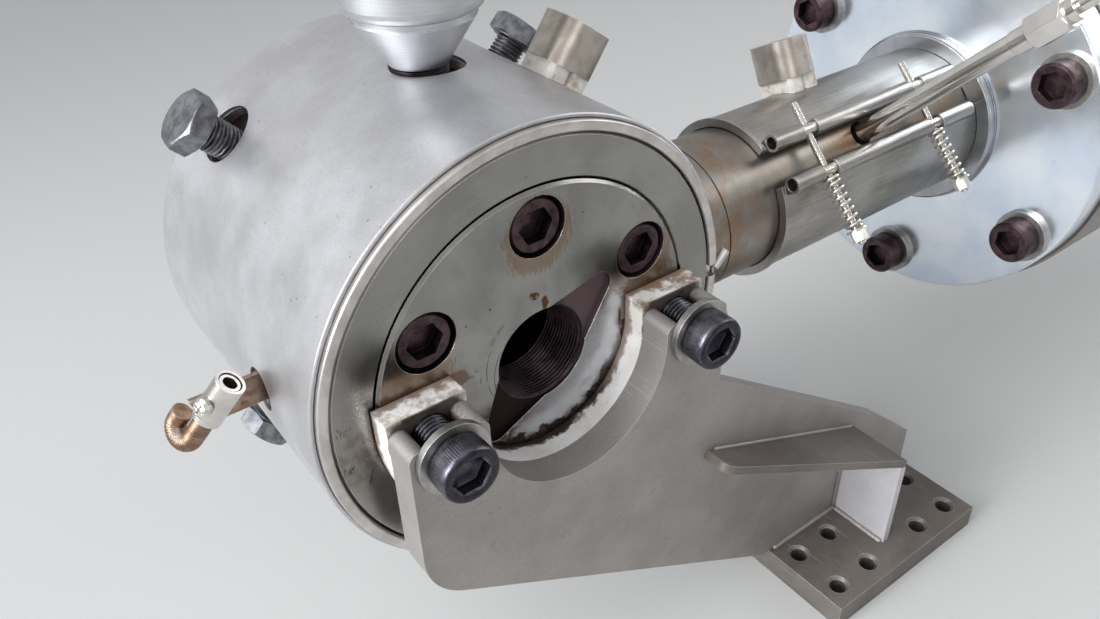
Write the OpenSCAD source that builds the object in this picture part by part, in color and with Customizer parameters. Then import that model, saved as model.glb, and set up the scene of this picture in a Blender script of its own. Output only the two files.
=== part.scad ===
// Crosshead extrusion die head with side feed adapter, on its welded bracket.
// Origin: centre of the bracket's base, on its underside. X runs towards the
// barrel, Y runs along the head from its open face to its back, Z is up.

/* [Stand] */
// Height of the head's axis over the underside of the base
axis_height = 205; // [195:1:260]
// Sideways distance from the head's axis to the middle of the base
base_offset = 193; // [180:1:240]
// Distance from the head's face back to the middle of the base
base_setback = -20; // [-30:1:-10]
// Side of the square base plate
base_size = 120; // [116:1:160]
// Thickness of the base plate
base_t = 15; // [10:1:25]
// Diameter of the holes in the base plate
base_hole_d = 9; // [6:0.5:12]
// Distance between the outer rows of base holes
base_pitch_outer = 96; // [92:1:104]
// Distance between the inner rows of base holes, along X
base_pitch_inner = 45; // [40:1:56]
// Distance between the inner rows of base holes, along Y
base_pitch_mid = 40; // [36:1:44]
// Thickness of the upright web at its arms
web_t = 15; // [12:1:22]
// Thickness of the upright web beside its arms
web_thin_t = 8; // [6:1:11]
// Thickness of the welded shelf and of its gusset
shelf_t = 4.5; // [3:0.5:8]
// How far the shelf stands out from the web over its gusset
shelf_depth = 36; // [30:1:40]

/* [Cradle] */
// Inside radius of the arch that carries the head
arch_r = 44; // [42:0.5:48]
// Outside radius of the half ring behind the web
cradle_r = 78; // [76:1:84]
// Thickness of the half ring
cradle_t = 12; // [10:0.5:16]
// Width of the open slot in each arm
arm_slot_w = 18; // [17:0.5:20]

/* [Head] */
// Diameter of the head body
head_d = 189; // [180:1:200]
// Length of the head from its face to its back
head_length = 163; // [160:1:200]
// Thickness of the front die ring
die_ring_t = 26; // [22:1:27]
// Width of the die ring's face, outside the retaining flange
die_ring_w = 18.5; // [16:0.5:21]
// How far the retaining flange stands proud of the face
flange_proud = 1; // [0.5:0.1:2]
// Diameter of the central threaded bore
bore_d = 44; // [38:0.5:46]
// Distance from the flange's edge in to the circle of six flange screws
flange_screw_in = 16; // [15:0.5:18]
// Thickness of the heater band round the head
heater_t = 4.5; // [3:0.5:6]
// Thickness of the outer sheet round the heater
jacket_t = 1.5; // [1:0.1:2.5]
// How far the outer sheet stays behind the face
jacket_setback = 2; // [1:0.5:4]

/* [Screws] */
// Shank diameter of the large screws
screw_d = 16; // [14:0.5:16]
// Head diameter of the large screws
screw_head_d = 24; // [22:0.5:25]
// Height of a large screw's head
screw_head_h = 11.5; // [10:0.5:16]
// Outer diameter of the flat washers
washer_d = 30; // [28:0.5:31]
// Thickness of the flat washers
washer_t = 3; // [2:0.5:4]
// Width across the flats of the adjusting bolts
hex_af = 24; // [20:0.5:26]
// Place of the adjusting bolts along the head
adjust_y = 128; // [120:1:140]

/* [Stripe nozzle] */
// Place of the nozzle along the head
nozzle_y = 78; // [70:1:90]
// Outer diameter of the nozzle's body
nozzle_d = 59; // [50:1:64]
// Height of the nozzle's flange over the head's axis
nozzle_top = 178; // [160:1:200]

/* [Adapter] */
// Place of the adapter's axis along the head
adapter_y = 46.9; // [46:0.1:48]
// Outer diameter of the adapter tube
adapter_d = 76; // [70:1:76]
// Diameter of the melt channel in the barrel's flange
melt_d = 30; // [28:1:34]
// Diameter of the melt channel through the adapter into the head
channel_d = 26; // [18:1:28]
// Thickness of the adapter's heater band
band_t = 3.2; // [2:0.1:4]
// Where the heater band starts, from the head's axis
band_start = 152; // [145:1:156]
// Where the flange's raised ring starts, from the head's axis
adapter_end = 311; // [300:1:340]
// Diameter of the adapter's flange
adapter_flange_d = 219; // [214:1:230]
// Thickness of the adapter's flange
adapter_flange_t = 18; // [14:1:24]
// Distance from the adapter flange's edge in to the circle of six screws
adapter_screw_in = 16.5; // [15.5:0.5:19]
// Thickness of the barrel's flange
barrel_flange_t = 44; // [40:1:60]
// Direction of the gap in the heater band, upwards from the front
gap_angle = 43.5; // [38:0.5:50]
// Half of the opening angle of that gap
gap_half_angle = 14; // [12:0.5:16]
// Place of the clamp screw nearer the head, from the head's axis
clamp_near = 180; // [174:1:190]
// Place of the clamp screw nearer the flange, from the head's axis
clamp_far = 265; // [255:1:275]
// Place of the pressure probe along the adapter, from the head's axis
probe_x = 222; // [212:1:235]

/* [Hidden] */
$fn = 96;

// Gaps between pieces that seat in or on each other
fit = 0.3;
touch = 0.1;
// How far a cut passes beyond the piece it cuts
past = 1;
// Broken edges of plates and turned pieces, wide ones and those of thin sheet
edge = 1;
wide_edge = 1.2;
thin_edge = 0.5;
// Width across the flats of the hexagon sockets
socket_af = 14;

head_r = head_d / 2;
heater_r = head_r + fit + heater_t;
jacket_r = heater_r + fit + jacket_t;
flange_r = head_r - die_ring_w;
flange_screw_r = flange_r - flange_screw_in;
flange_front = -flange_proud;
flange_t = die_ring_t - fit + flange_proud;
cradle_back = flange_front - touch;
web_back = cradle_back - cradle_t;
web_front = web_back - web_t;
cradle_screw_x = (arch_r + cradle_r) / 2;

// Depth to which the flange screws' heads sit under the flange's face
flange_cbore = screw_head_h + 1;
tap_r = screw_d / 2 + fit;
clear_r = screw_d / 2 + 0.6;
cbore_r = screw_head_d / 2 + 1;

base_top = base_t - axis_height;
base_left = base_offset - base_size / 2;
base_right = base_offset + base_size / 2;

adapter_r = adapter_d / 2;
band_in_r = adapter_r + fit;
band_r = band_in_r + band_t;
ring_t = 5;
adapter_flange_x = adapter_end + ring_t;
adapter_back = adapter_flange_x + adapter_flange_t;
adapter_screw_r = adapter_flange_d / 2 - adapter_screw_in;
seal_t = 2;
barrel_x = adapter_back + seal_t;

// Angles of the screws round the head's face, its side, its back and the adapter
flange_angles = [30, 90, 150, 210, 270, 330];
adjust_angles = [45, 135, 225, 315];
back_angles = [0, 60, 120, 180, 240, 300];
adapter_angles = flange_angles;

// Moves pieces from the head's own frame to the base's frame
module at_head() {
  translate([-base_offset, -base_setback, axis_height]) children();
}

// Places local Z outwards from the head's axis, angle from +X towards +Z
module from_head_axis(angle, y) {
  translate([0, y, 0]) rotate([0, 90 - angle, 0]) children();
}

// Places local Z outwards from the adapter's axis, angle from the front upwards
module from_adapter_axis(angle, x) {
  translate([x, adapter_y, 0]) rotate([90 - angle, 0, 0]) children();
}

// A flat shape drawn in X and Z, from y_front to y_back
module plate_y(y_front, y_back) {
  translate([0, y_back, 0]) rotate([90, 0, 0]) linear_extrude(y_back - y_front) children();
}

// A flat shape drawn across the adapter, in Y and Z, from x_low to x_high
module bar_x(x_low, x_high) {
  translate([x_low, adapter_y, 0]) rotate([90, 0, 90]) linear_extrude(x_high - x_low) children();
}

// A turned shape round the head's axis, drawn as radius and place along Y
module turned_y() {
  rotate([-90, 0, 0]) rotate_extrude() children();
}

// A straight round bar along Y
module bar_y(y_low, y_high, r) {
  translate([0, y_low, 0]) rotate([-90, 0, 0]) cylinder(h = y_high - y_low, r = r);
}

// A straight round bar along the adapter's axis
module rod_x(x_low, x_high, r) {
  translate([x_low, adapter_y, 0]) rotate([0, 90, 0]) cylinder(h = x_high - x_low, r = r);
}

// A socket head screw, its head's seat at z = 0 and its shank below
module socket_screw(length, cap_d, cap_h, shank_d, af) {
  difference() {
    union() {
      rotate_extrude() polygon([[0, 0], [cap_d / 2, 0], [cap_d / 2, cap_h - wide_edge],
        [cap_d / 2 - wide_edge, cap_h], [0, cap_h]]);
      translate([0, 0, -length]) cylinder(h = length + thin_edge, r = shank_d / 2);
    }
    translate([0, 0, cap_h / 2]) cylinder(h = cap_h, r = af / sqrt(3), $fn = 6);
  }
}

// A hexagon head bolt, its head's seat at z = 0 and its shank below
module hex_bolt(length, af, cap_h, shank_d) {
  corner_r = af / sqrt(3) + touch;
  intersection() {
    cylinder(h = cap_h, r = af / sqrt(3), $fn = 6);
    rotate_extrude() polygon([[0, 0], [af / 2, 0], [corner_r, wide_edge],
      [corner_r, cap_h - 1.5 * wide_edge], [af / 2 - thin_edge, cap_h], [0, cap_h]]);
  }
  translate([0, 0, -length]) cylinder(h = length + thin_edge, r = shank_d / 2);
}

// A rectangle with rounded corners, centred
module round_rect(w, h, r) {
  for (sx = [-1, 1], sy = [-1, 1]) translate([sx * (w / 2 - r), sy * (h / 2 - r)]) circle(r);
  square([w, h - 2 * r], center = true);
  square([w - 2 * r, h], center = true);
}

// A flat washer lying on z = 0
module flat_washer(outer, inner_r, t) {
  difference() {
    cylinder(h = t, r = outer / 2);
    translate([0, 0, -past]) cylinder(h = t + 2 * past, r = inner_r);
  }
}

// The bracket: base, web, shelf and gusset

base_xs = [-base_pitch_outer / 2, -base_pitch_inner / 2, base_pitch_inner / 2, base_pitch_outer / 2];
base_ys = [-base_pitch_outer / 2, -base_pitch_mid / 2, base_pitch_mid / 2, base_pitch_outer / 2];
hole_chamfer = 1.5;

module bracket_base() {
  hole_r = base_hole_d / 2;
  color("silver") difference() {
    translate([-base_size / 2, -base_size / 2, 0]) cube([base_size, base_size, base_t]);
    for (x = base_xs, y = base_ys) translate([x, y, -past]) {
      cylinder(h = base_t + 2 * past, r = hole_r);
      translate([0, 0, base_t + past - hole_chamfer])
        cylinder(h = 2 * hole_chamfer, r1 = hole_r, r2 = hole_r + 2 * hole_chamfer);
    }
  }
}

// Outline of the web: half width, tops of arms, underside line, shoulder, knee and heel
arm_x = cradle_r;
arm_top = 8;
web_corner_r = 32;
web_slope = 0.608;
web_low_x = 6.7;
web_low_z = -116.4;
shoulder_z = -36;
knee_out = 22;
knee_z = -132;
heel_z = -165;
prong_w = (cradle_r - arch_r - arm_slot_w) / 2;
arm_flat = arm_top - prong_w / 2;
function web_under(x) = web_low_z - web_slope * (x - web_low_x);

// The web's outline without its arch, in X and Z of the head's frame
module web_outline() {
  corner_z = web_under(-arm_x);
  lean = atan(web_slope);
  arc_x = -arm_x + web_corner_r;
  arc_z = corner_z + web_corner_r * tan((90 - lean) / 2);
  touch_x = arc_x - web_corner_r * sin(lean);
  touch_z = arc_z - web_corner_r * cos(lean);
  foot_z = min(base_top, web_under(base_left));
  difference() {
    polygon([[-arm_x, arm_flat], [-arm_x, corner_z], [base_left, foot_z], [base_left, base_top],
      [base_right, base_top], [base_right, heel_z], [base_offset + knee_out, knee_z],
      [arm_x, shoulder_z], [arm_x, arm_flat]]);
    difference() {
      polygon([[-arm_x - past, arc_z], [-arm_x - past, corner_z - past], [touch_x, touch_z - past],
        [touch_x, touch_z], [arc_x, arc_z]]);
      translate([arc_x, arc_z]) circle(web_corner_r);
    }
    translate([base_left - arm_x, base_top - base_size]) square([base_size + 2 * arm_x, base_size]);
  }
}

module bracket_web() {
  color("silver") at_head() difference() {
    plate_y(web_front, web_back) {
      difference() {
        web_outline();
        circle(arch_r);
        translate([-arch_r, 0]) square([2 * arch_r, arm_top + past]);
        for (s = [-1, 1]) translate([s * cradle_screw_x, 0]) {
          circle(arm_slot_w / 2);
          translate([-arm_slot_w / 2, 0]) square([arm_slot_w, arm_top + past]);
        }
      }
      for (s = [-1, 1], x = [arch_r + prong_w / 2, arm_x - prong_w / 2])
        translate([s * x, arm_flat]) circle(prong_w / 2);
    }
    translate([arm_x, web_front + web_thin_t, base_top - past])
      cube([base_right - arm_x + past, web_t, arm_flat - base_top]);
  }
}

// The shelf runs down from beside the arch to its end over the gusset and widens on the way
shelf_root_x = 74;
shelf_root_z = -77;
shelf_end_z = -128;
shelf_corner = 7;
shelf_start_w = 16;
shelf_run = base_offset - shelf_root_x;
shelf_lean = atan2(shelf_end_z - shelf_root_z, shelf_run);

module bracket_shelf() {
  length = shelf_run / cos(shelf_lean);
  color("silver") at_head() translate([shelf_root_x, web_front - touch, shelf_root_z])
    rotate([0, -shelf_lean, 0]) translate([0, 0, -shelf_t]) linear_extrude(shelf_t) {
      polygon([[0, 0], [length, 0], [length, -shelf_depth], [shelf_corner, -shelf_start_w],
        [0, shelf_corner - shelf_start_w]]);
      translate([shelf_corner, shelf_corner - shelf_start_w]) circle(shelf_corner);
    }
}

module bracket_gusset() {
  drop = shelf_t / cos(shelf_lean) + touch;
  x0 = base_offset - shelf_t;
  color("silver") at_head() plate_y(web_front - touch - shelf_depth, web_front - touch)
    polygon([[x0, base_top + touch], [base_offset, base_top + touch],
      [base_offset, shelf_end_z - drop], [x0, shelf_end_z - drop - shelf_t * tan(shelf_lean)]]);
}

// The cradle: half ring with two lugs, two screws and two washers

lug_top = 11;

module cradle_ring() {
  lug_w = cradle_r - arch_r;
  color("gainsboro") at_head() difference() {
    plate_y(web_back + touch, cradle_back) difference() {
      union() {
        difference() {
          circle(cradle_r);
          translate([-cradle_r - past, 0]) square([2 * cradle_r + 2 * past, cradle_r + past]);
        }
        for (x = [-cradle_r, arch_r]) translate([x, -past]) square([lug_w, lug_top + past]);
      }
      circle(arch_r);
    }
    for (s = [-1, 1]) translate([s * cradle_screw_x, 0, 0])
      bar_y(web_back - past, cradle_back + past, tap_r);
  }
}

module cradle_washers() {
  color("darkkhaki") at_head() for (s = [-1, 1])
    translate([s * cradle_screw_x, web_front - touch, 0]) rotate([90, 0, 0])
      flat_washer(washer_d, tap_r, washer_t);
}

module cradle_screws() {
  color("dimgray") at_head() for (s = [-1, 1])
    translate([s * cradle_screw_x, web_front - washer_t - 2 * touch, 0]) rotate([90, 0, 0])
      socket_screw(washer_t + web_t + cradle_t, screw_head_d, screw_head_h, screw_d, socket_af);
}

// The head: ring, flange, screws, body and core

module die_ring() {
  inner = flange_r + fit;
  color("lightgray") at_head()
    turned_y() polygon([[inner, edge], [inner + edge, 0], [head_r - edge, 0], [head_r, edge],
      [head_r, die_ring_t], [inner, die_ring_t]]);
}

// Two lobes sunk in the flange's face, each narrowing from the bore outwards
lobe_angles = [36, 228];
lobe_depth = 2;
lobe_in_r = 20;
lobe_out_r = 6;
lobe_wall = 4;
lobe_reach = flange_screw_r - cbore_r - lobe_wall - lobe_out_r;

module lobe() {
  lean = asin((lobe_in_r - lobe_out_r) / lobe_reach);
  in_x = lobe_in_r * sin(lean);
  in_z = lobe_in_r * cos(lean);
  out_x = lobe_reach + lobe_out_r * sin(lean);
  out_z = lobe_out_r * cos(lean);
  circle(lobe_in_r);
  translate([lobe_reach, 0]) circle(lobe_out_r);
  polygon([[in_x, in_z], [out_x, out_z], [out_x, -out_z], [in_x, -in_z]]);
}

module retaining_flange() {
  color("gray") at_head() difference() {
    turned_y() polygon([[bore_d / 2, flange_front], [flange_r - wide_edge, flange_front],
      [flange_r, flange_front + wide_edge], [flange_r, flange_front + flange_t],
      [bore_d / 2, flange_front + flange_t]]);
    for (a = flange_angles) rotate([0, -a, 0]) translate([flange_screw_r, 0, 0]) {
      bar_y(flange_front - past, flange_front + flange_cbore, cbore_r);
      bar_y(flange_front, flange_front + flange_t + past, tap_r);
    }
    for (a = lobe_angles) rotate([0, -a, 0])
      plate_y(flange_front - past, flange_front + lobe_depth) lobe();
  }
}

flange_screw_len = 32;

module flange_screws() {
  color("dimgray") at_head() for (a = flange_angles)
    rotate([0, -a, 0]) translate([flange_screw_r, flange_front + flange_cbore, 0])
      rotate([90, 0, 0]) rotate([0, 0, a])
        socket_screw(flange_screw_len, screw_head_d, screw_head_h, screw_d, socket_af);
}

// Inside of the head: core, wire guide, adapter's seat, nozzle's seat, bolts' seats
core_r = bore_d / 2 + 2;
core_tip_y = 62;
core_back = 110;
core_nose_r = 8;
core_shoulder = 26;
core_land = 14;
wire_r = 6;
guide_wall = 4;
guide_r = wire_r + guide_wall;
adapter_seat_r = 18;
adapter_seat_x = 62;
neck_r = 12;
neck_seat = 66;
adjust_seat = 58;

// The back plate and its screws
back_r = 76;
back_t = 12;
back_edge = 1.5;
back_screw_r = 58;
back_screw_d = 12;
back_cap_d = 18;
back_cap_h = 12;
back_socket_af = 10;
back_bite = 20;
back_tap_r = back_screw_d / 2 + fit;
back_face = head_length + back_t;

module head_body() {
  color("gray") at_head() difference() {
    bar_y(die_ring_t + touch, head_length, head_r);
    bar_y(die_ring_t - past, core_back, core_r);
    bar_y(core_back - past, head_length + past, guide_r + fit);
    for (a = flange_angles) rotate([0, -a, 0]) translate([flange_screw_r, 0, 0])
      bar_y(die_ring_t - past, flange_front + flange_cbore + flange_screw_len + fit, tap_r);
    for (a = adjust_angles) from_head_axis(a, adjust_y)
      translate([0, 0, adjust_seat]) cylinder(h = head_r, r = tap_r);
    from_head_axis(90, nozzle_y) translate([0, 0, neck_seat]) cylinder(h = head_r, r = neck_r + fit);
    rod_x(adapter_seat_x, head_r + past, adapter_seat_r + fit);
    rod_x(0, adapter_seat_x + past, channel_d / 2);
    for (a = back_angles) rotate([0, -a, 0]) translate([back_screw_r, 0, 0])
      bar_y(head_length - back_bite - 2 * past, head_length + past, back_tap_r);
  }
}

module core_tip() {
  r = core_r - fit;
  color("saddlebrown") at_head() difference() {
    turned_y() polygon([[0, core_tip_y], [core_nose_r, core_tip_y],
      [core_r - core_nose_r, core_back - core_shoulder], [r, core_back - core_land],
      [r, core_back - fit], [0, core_back - fit]]);
    bar_y(core_tip_y - past, core_back + past, wire_r - guide_wall / 2);
  }
}

// Heater, its sheet and the rim in front

heater_front = 2.4;
heater_short = 4;
heater_slit = 3;
heater_slit_z = -9;
jacket_short = 3;
adjust_hole_r = 13.5;
nozzle_hole_r = 16;
hole_turn = 2;
strap_hole_r = 9.5;
adapter_gap = 2;
strap_y = 50;

// Every hole that passes out through the heater and its sheet, which sit turned a little
module jacket_holes() {
  low = head_r - heater_t;
  long = jacket_r - low + 4 * heater_t;
  for (a = adjust_angles) from_head_axis(a - hole_turn, adjust_y)
    translate([0, 0, low]) cylinder(h = long, r = adjust_hole_r);
  from_head_axis(90 - hole_turn, nozzle_y) translate([0, 0, low])
    cylinder(h = long, r = nozzle_hole_r);
  from_head_axis(180, strap_y + strap_t / 2) translate([0, 0, low])
    cylinder(h = long, r = strap_hole_r);
  rod_x(head_r - adjust_hole_r, low + long, adapter_r + adapter_gap);
}

module heater_ring() {
  inner = head_r + fit;
  front = heater_front + edge;
  color("gainsboro") at_head() difference() {
    turned_y() polygon([[inner, front], [inner + edge, heater_front], [heater_r - edge, heater_front],
      [heater_r, front], [heater_r, head_length - heater_short], [inner, head_length - heater_short]]);
    jacket_holes();
    translate([head_r - heater_t, -past, heater_slit_z])
      cube([3 * heater_t, head_length, heater_slit]);
  }
}

module jacket_sheet() {
  inner = heater_r + fit;
  color("lightsteelblue") at_head() difference() {
    turned_y() polygon([[inner, jacket_setback], [jacket_r - thin_edge, jacket_setback],
      [jacket_r, jacket_setback + thin_edge], [jacket_r, head_length - jacket_short],
      [inner, head_length - jacket_short]]);
    jacket_holes();
  }
}

// The rounded rim strip in front of the heater, with a short gap beside the adapter
rim_front = -0.8;
rim_round = 0.9;
rim_gap_low = -1.4;
rim_gap_high = 4.7;

module jacket_rim() {
  inner = head_r + fit;
  outer = heater_r;
  back = heater_front - touch;
  corner = [for (a = [0 : 22.5 : 90]) [rim_round * cos(a), rim_round * sin(a)]];
  color("gainsboro") at_head() difference() {
    turned_y() polygon(concat([[inner, back]],
      [for (c = corner) [inner + rim_round - c[0], rim_front + rim_round - c[1]]],
      [for (i = [4 : -1 : 0]) [outer - rim_round + corner[i][0], rim_front + rim_round - corner[i][1]]],
      [[outer, back]]));
    translate([head_r - past, rim_front - past, rim_gap_low])
      cube([2 * heater_t, back + 3 * past, rim_gap_high - rim_gap_low]);
  }
}

adjust_lift = 10.5;
adjust_cap_h = 10;
adjust_turn = 20;

module adjusting_bolts() {
  seat = jacket_r + adjust_lift;
  color("dimgray") at_head() for (a = adjust_angles) from_head_axis(a, adjust_y)
    translate([0, 0, seat]) rotate([0, 0, adjust_turn])
      hex_bolt(seat - adjust_seat - 2 * past, hex_af, adjust_cap_h, screw_d);
}

// The back: cover plate with its screws and the guide for the wire

module back_plate() {
  inner = guide_r + fit;
  color("gray") at_head() difference() {
    turned_y() polygon([[inner, head_length + touch], [back_r, head_length + touch],
      [back_r, back_face - back_edge], [back_r - back_edge, back_face], [inner, back_face]]);
    for (a = back_angles) rotate([0, -a, 0]) translate([back_screw_r, 0, 0])
      bar_y(head_length - past, back_face + past, back_tap_r);
  }
}

module back_screws() {
  color("dimgray") at_head() for (a = back_angles)
    rotate([0, -a, 0]) translate([back_screw_r, back_face + touch, 0])
      rotate([-90, 0, 0])
        socket_screw(back_t + back_bite, back_cap_d, back_cap_h, back_screw_d, back_socket_af);
}

guide_flange_w = 8;
guide_flange_t = 14;
guide_out = 24;
guide_lip = 2;

module wire_guide() {
  flange_y = back_face + touch;
  end_y = back_face + guide_out;
  color("silver") at_head()
    turned_y() polygon([[wire_r, core_back + 2 * past], [guide_r, core_back + 2 * past],
      [guide_r, flange_y], [guide_r + guide_flange_w, flange_y],
      [guide_r + guide_flange_w, back_face + guide_flange_t], [guide_r, end_y],
      [wire_r + guide_lip, end_y], [wire_r, end_y - 1.5 * guide_lip]]);
}

// The stripe nozzle on top: threaded neck, cone, groove, rounded shoulder and flange

cone_low = jacket_r + 1.5;
cone_out = 13.5;
cone_h = 19.5;
groove_in = 1;
groove_h = 1.5;
shoulder_lift = 1;
shoulder_r = 5;
stripe_r = 5;
stripe_flange_out = 9;
stripe_flange_t = 10;
stripe_screw_in = 6;
stripe_screw_r = 2.7;
stripe_angles = adjust_angles;

module stripe_neck() {
  seat = neck_seat + fit;
  color("saddlebrown") at_head() from_head_axis(90, nozzle_y)
    translate([0, 0, seat]) cylinder(h = cone_low - touch - seat, r = neck_r);
}

module stripe_nozzle() {
  r = nozzle_d / 2;
  cone_r = neck_r + cone_out;
  cone_top = cone_low + cone_h;
  groove_top = cone_top + groove_h;
  shoulder_z = groove_top + shoulder_lift + shoulder_r;
  shoulder = [for (a = [-90 : 22.5 : 0])
    [r - shoulder_r + shoulder_r * cos(a), shoulder_z + shoulder_r * sin(a)]];
  color("lightgray") at_head() from_head_axis(90, nozzle_y) rotate_extrude()
    polygon(concat([[stripe_r, cone_low], [neck_r + thin_edge, cone_low], [cone_r, cone_top],
      [cone_r - groove_in, cone_top], [cone_r - groove_in, groove_top]], shoulder,
      [[r, nozzle_top - touch], [stripe_r, nozzle_top - touch]]));
}

module stripe_flange() {
  r = nozzle_d / 2 + stripe_flange_out;
  top = nozzle_top + stripe_flange_t;
  color("silver") at_head() from_head_axis(90, nozzle_y) difference() {
    rotate_extrude() polygon([[stripe_r, nozzle_top], [r - edge, nozzle_top], [r, nozzle_top + edge],
      [r, top - edge], [r - edge, top], [stripe_r, top]]);
    for (a = stripe_angles) rotate(a) translate([r - stripe_screw_in, 0, nozzle_top - past])
      cylinder(h = stripe_flange_t + 2 * past, r = stripe_screw_r);
  }
}

// The temperature probe on the left: strap, socket, ferrule, screw and lead

strap_t = 2;
strap_top = 8.5;
strap_low = -5.2;
strap_out = 3.8;
strap_cut = 5.6;
strap_edge = 3.5;
socket_out = 23.5;
socket_x = -jacket_r - socket_out;
socket_z = 3.1;
socket_r = 6;
socket_in_r = 4.7;
socket_l = 20;
socket_lean = 37.8;
socket_turn = -32.2;
socket_y = strap_y - touch - socket_r * sqrt(1 - pow(sin(socket_lean) * sin(socket_turn), 2));
probe_thread_r = 2;
probe_screw_z = 8;
probe_screw_turn = -36;
lead_r = 4.2;
lead_bend_r = 5;
lead_low = -13;
lead_top = 5;
lead_tail = 5;
lead_turn = 140;

// Places local Z along the socket, up, sideways and towards the front
module at_probe() {
  translate([socket_x, socket_y, socket_z]) rotate([0, socket_lean, socket_turn]) children();
}

module probe_strap() {
  end_x = socket_x - strap_out;
  seat_x = -head_r - fit;
  color("rosybrown") at_head() plate_y(strap_y, strap_y + strap_t)
    polygon([[end_x, strap_top], [seat_x, strap_top], [seat_x, strap_low],
      [socket_x + strap_cut, strap_low], [end_x + edge, strap_top - strap_edge]]);
}

module probe_socket() {
  color("silver") at_head() at_probe() difference() {
    cylinder(h = socket_l, r = socket_r);
    translate([0, 0, -past]) cylinder(h = socket_l + 2 * past, r = socket_in_r);
    translate([0, 0, probe_screw_z]) rotate([90, 0, probe_screw_turn])
      cylinder(h = socket_r + 4 * past, r = probe_thread_r + 2 * touch);
  }
}

ferrule_l = 7;
ferrule_low = socket_l - ferrule_l - thin_edge;
ferrule_r = 2.9;

module probe_ferrule() {
  color("gainsboro") at_head() at_probe() difference() {
    translate([0, 0, ferrule_low]) cylinder(h = ferrule_l, r = socket_in_r - thin_edge);
    translate([0, 0, ferrule_low - past]) cylinder(h = ferrule_l + 2 * past, r = ferrule_r);
  }
}

probe_cap_r = 4.2;
probe_cap_h = 3.2;
recess_w = 0.9;
recess_l = 4.8;

module probe_screw() {
  seat = socket_r + 2 * touch;
  top = seat + probe_cap_h;
  color("silver") at_head() at_probe() translate([0, 0, probe_screw_z])
    rotate([90, 0, probe_screw_turn]) difference() {
      rotate_extrude() polygon([[0, socket_in_r + 2 * touch], [probe_thread_r, socket_in_r + 2 * touch],
        [probe_thread_r, seat], [probe_cap_r, seat], [probe_cap_r - 2 * touch, seat + probe_cap_h / 2],
        [probe_cap_r - 1.5 * edge, top - thin_edge], [0, top]]);
      for (a = [0, 90]) rotate(a) translate([-recess_l / 2, -recess_w / 2, seat + probe_cap_h / 2])
        cube([recess_l, recess_w, probe_cap_h]);
    }
}

module probe_lead() {
  color("peru") at_head() at_probe() rotate(lead_turn) {
    translate([0, 0, lead_low]) cylinder(h = lead_top - lead_low, r = lead_r);
    translate([2 * lead_bend_r, 0, lead_low]) cylinder(h = lead_tail, r = lead_r);
    translate([lead_bend_r, 0, lead_low]) rotate([-90, 0, 0])
      rotate_extrude(angle = 180) translate([lead_bend_r, 0]) circle(lead_r);
  }
}

// Terminal boxes: two white ceramic blocks under a sheet cap

cap_w = 28;
cap_l = 25;
cap_h = 20;
cap_t = 1;
cap_corner = 9;
ceramic_h = 6.5;
ceramic_in = 4;
ceramic_gap = 0.6;
ceramic_corner = 2.5;
ceramic_hole_r = 3;
terminal_angle = 54.3;
terminal_y = 68.5;
box_angle = 116.3;
box_x = 216.5;

// Two blocks side by side, hollowed below to sit on a round of radius seat_r along local Y.
// They part along Y, or across it where across is true.
module ceramic_base(w, l, seat_r, across) {
  low = sqrt(seat_r * seat_r - w * w / 4) - edge;
  part_w = across ? w / 2 - ceramic_gap : w;
  part_l = across ? l : l / 2 - ceramic_gap;
  for (s = [-1, 1]) difference() {
    translate([across ? s * w / 4 : 0, across ? 0 : s * l / 4, low]) difference() {
      linear_extrude(seat_r - low + ceramic_h + ceramic_in) round_rect(part_w, part_l, ceramic_corner);
      translate([0, 0, seat_r - low + ceramic_in])
        cylinder(h = ceramic_h + 2 * ceramic_in, r = ceramic_hole_r);
    }
    rotate([90, 0, 0]) cylinder(h = l + 2 * past, r = seat_r, center = true);
  }
}

module sheet_cap(w, l, h) {
  difference() {
    linear_extrude(h) round_rect(w, l, cap_corner);
    translate([0, 0, -past]) linear_extrude(h - cap_t + past)
      round_rect(w - 2 * cap_t, l - 2 * cap_t, cap_corner - cap_t);
  }
}

// The blocks stand inside the cap, clear of its rounded corners
module terminal_blocks(seat_r, across) {
  room = 2 * cap_t + cap_corner - cap_t - ceramic_corner;
  ceramic_base(cap_w - room / 2, cap_l - room / 2, seat_r + touch, across);
}

module head_terminal_base() {
  color("white") at_head() from_head_axis(terminal_angle, terminal_y) terminal_blocks(jacket_r, true);
}

module head_terminal_cap() {
  color("silver") at_head() from_head_axis(terminal_angle, terminal_y)
    translate([0, 0, jacket_r + ceramic_h]) sheet_cap(cap_w, cap_l, cap_h);
}

module adapter_terminal_base() {
  color("white") at_head() from_adapter_axis(box_angle, box_x) rotate(90)
    terminal_blocks(band_r, false);
}

module adapter_terminal_cap() {
  color("silver") at_head() from_adapter_axis(box_angle, box_x) rotate(90)
    translate([0, 0, band_r + ceramic_h]) sheet_cap(cap_w, cap_l, cap_h);
}

// The adapter: tube and flange, with a step in the tube before the heater band

tube_step_x = 118;
tube_step_w = 2;
tube_step_in = 1;
probe_seat_r = 27;
probe_hole_r = 6.8;
flange_ring_r = 50;

module adapter_tube() {
  color("silver") at_head() difference() {
    union() {
      rod_x(head_r + fit, tube_step_x, adapter_r);
      rod_x(tube_step_x - past, tube_step_x + tube_step_w, adapter_r - tube_step_in);
      rod_x(tube_step_x + tube_step_w - past, adapter_back, adapter_r - 2 * touch);
      rod_x(adapter_seat_x + fit, head_r + past, adapter_seat_r);
    }
    rod_x(adapter_seat_x - past, adapter_back + past, channel_d / 2);
    from_adapter_axis(gap_angle, probe_x)
      translate([0, 0, probe_seat_r]) cylinder(h = adapter_r, r = probe_hole_r);
  }
}

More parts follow.
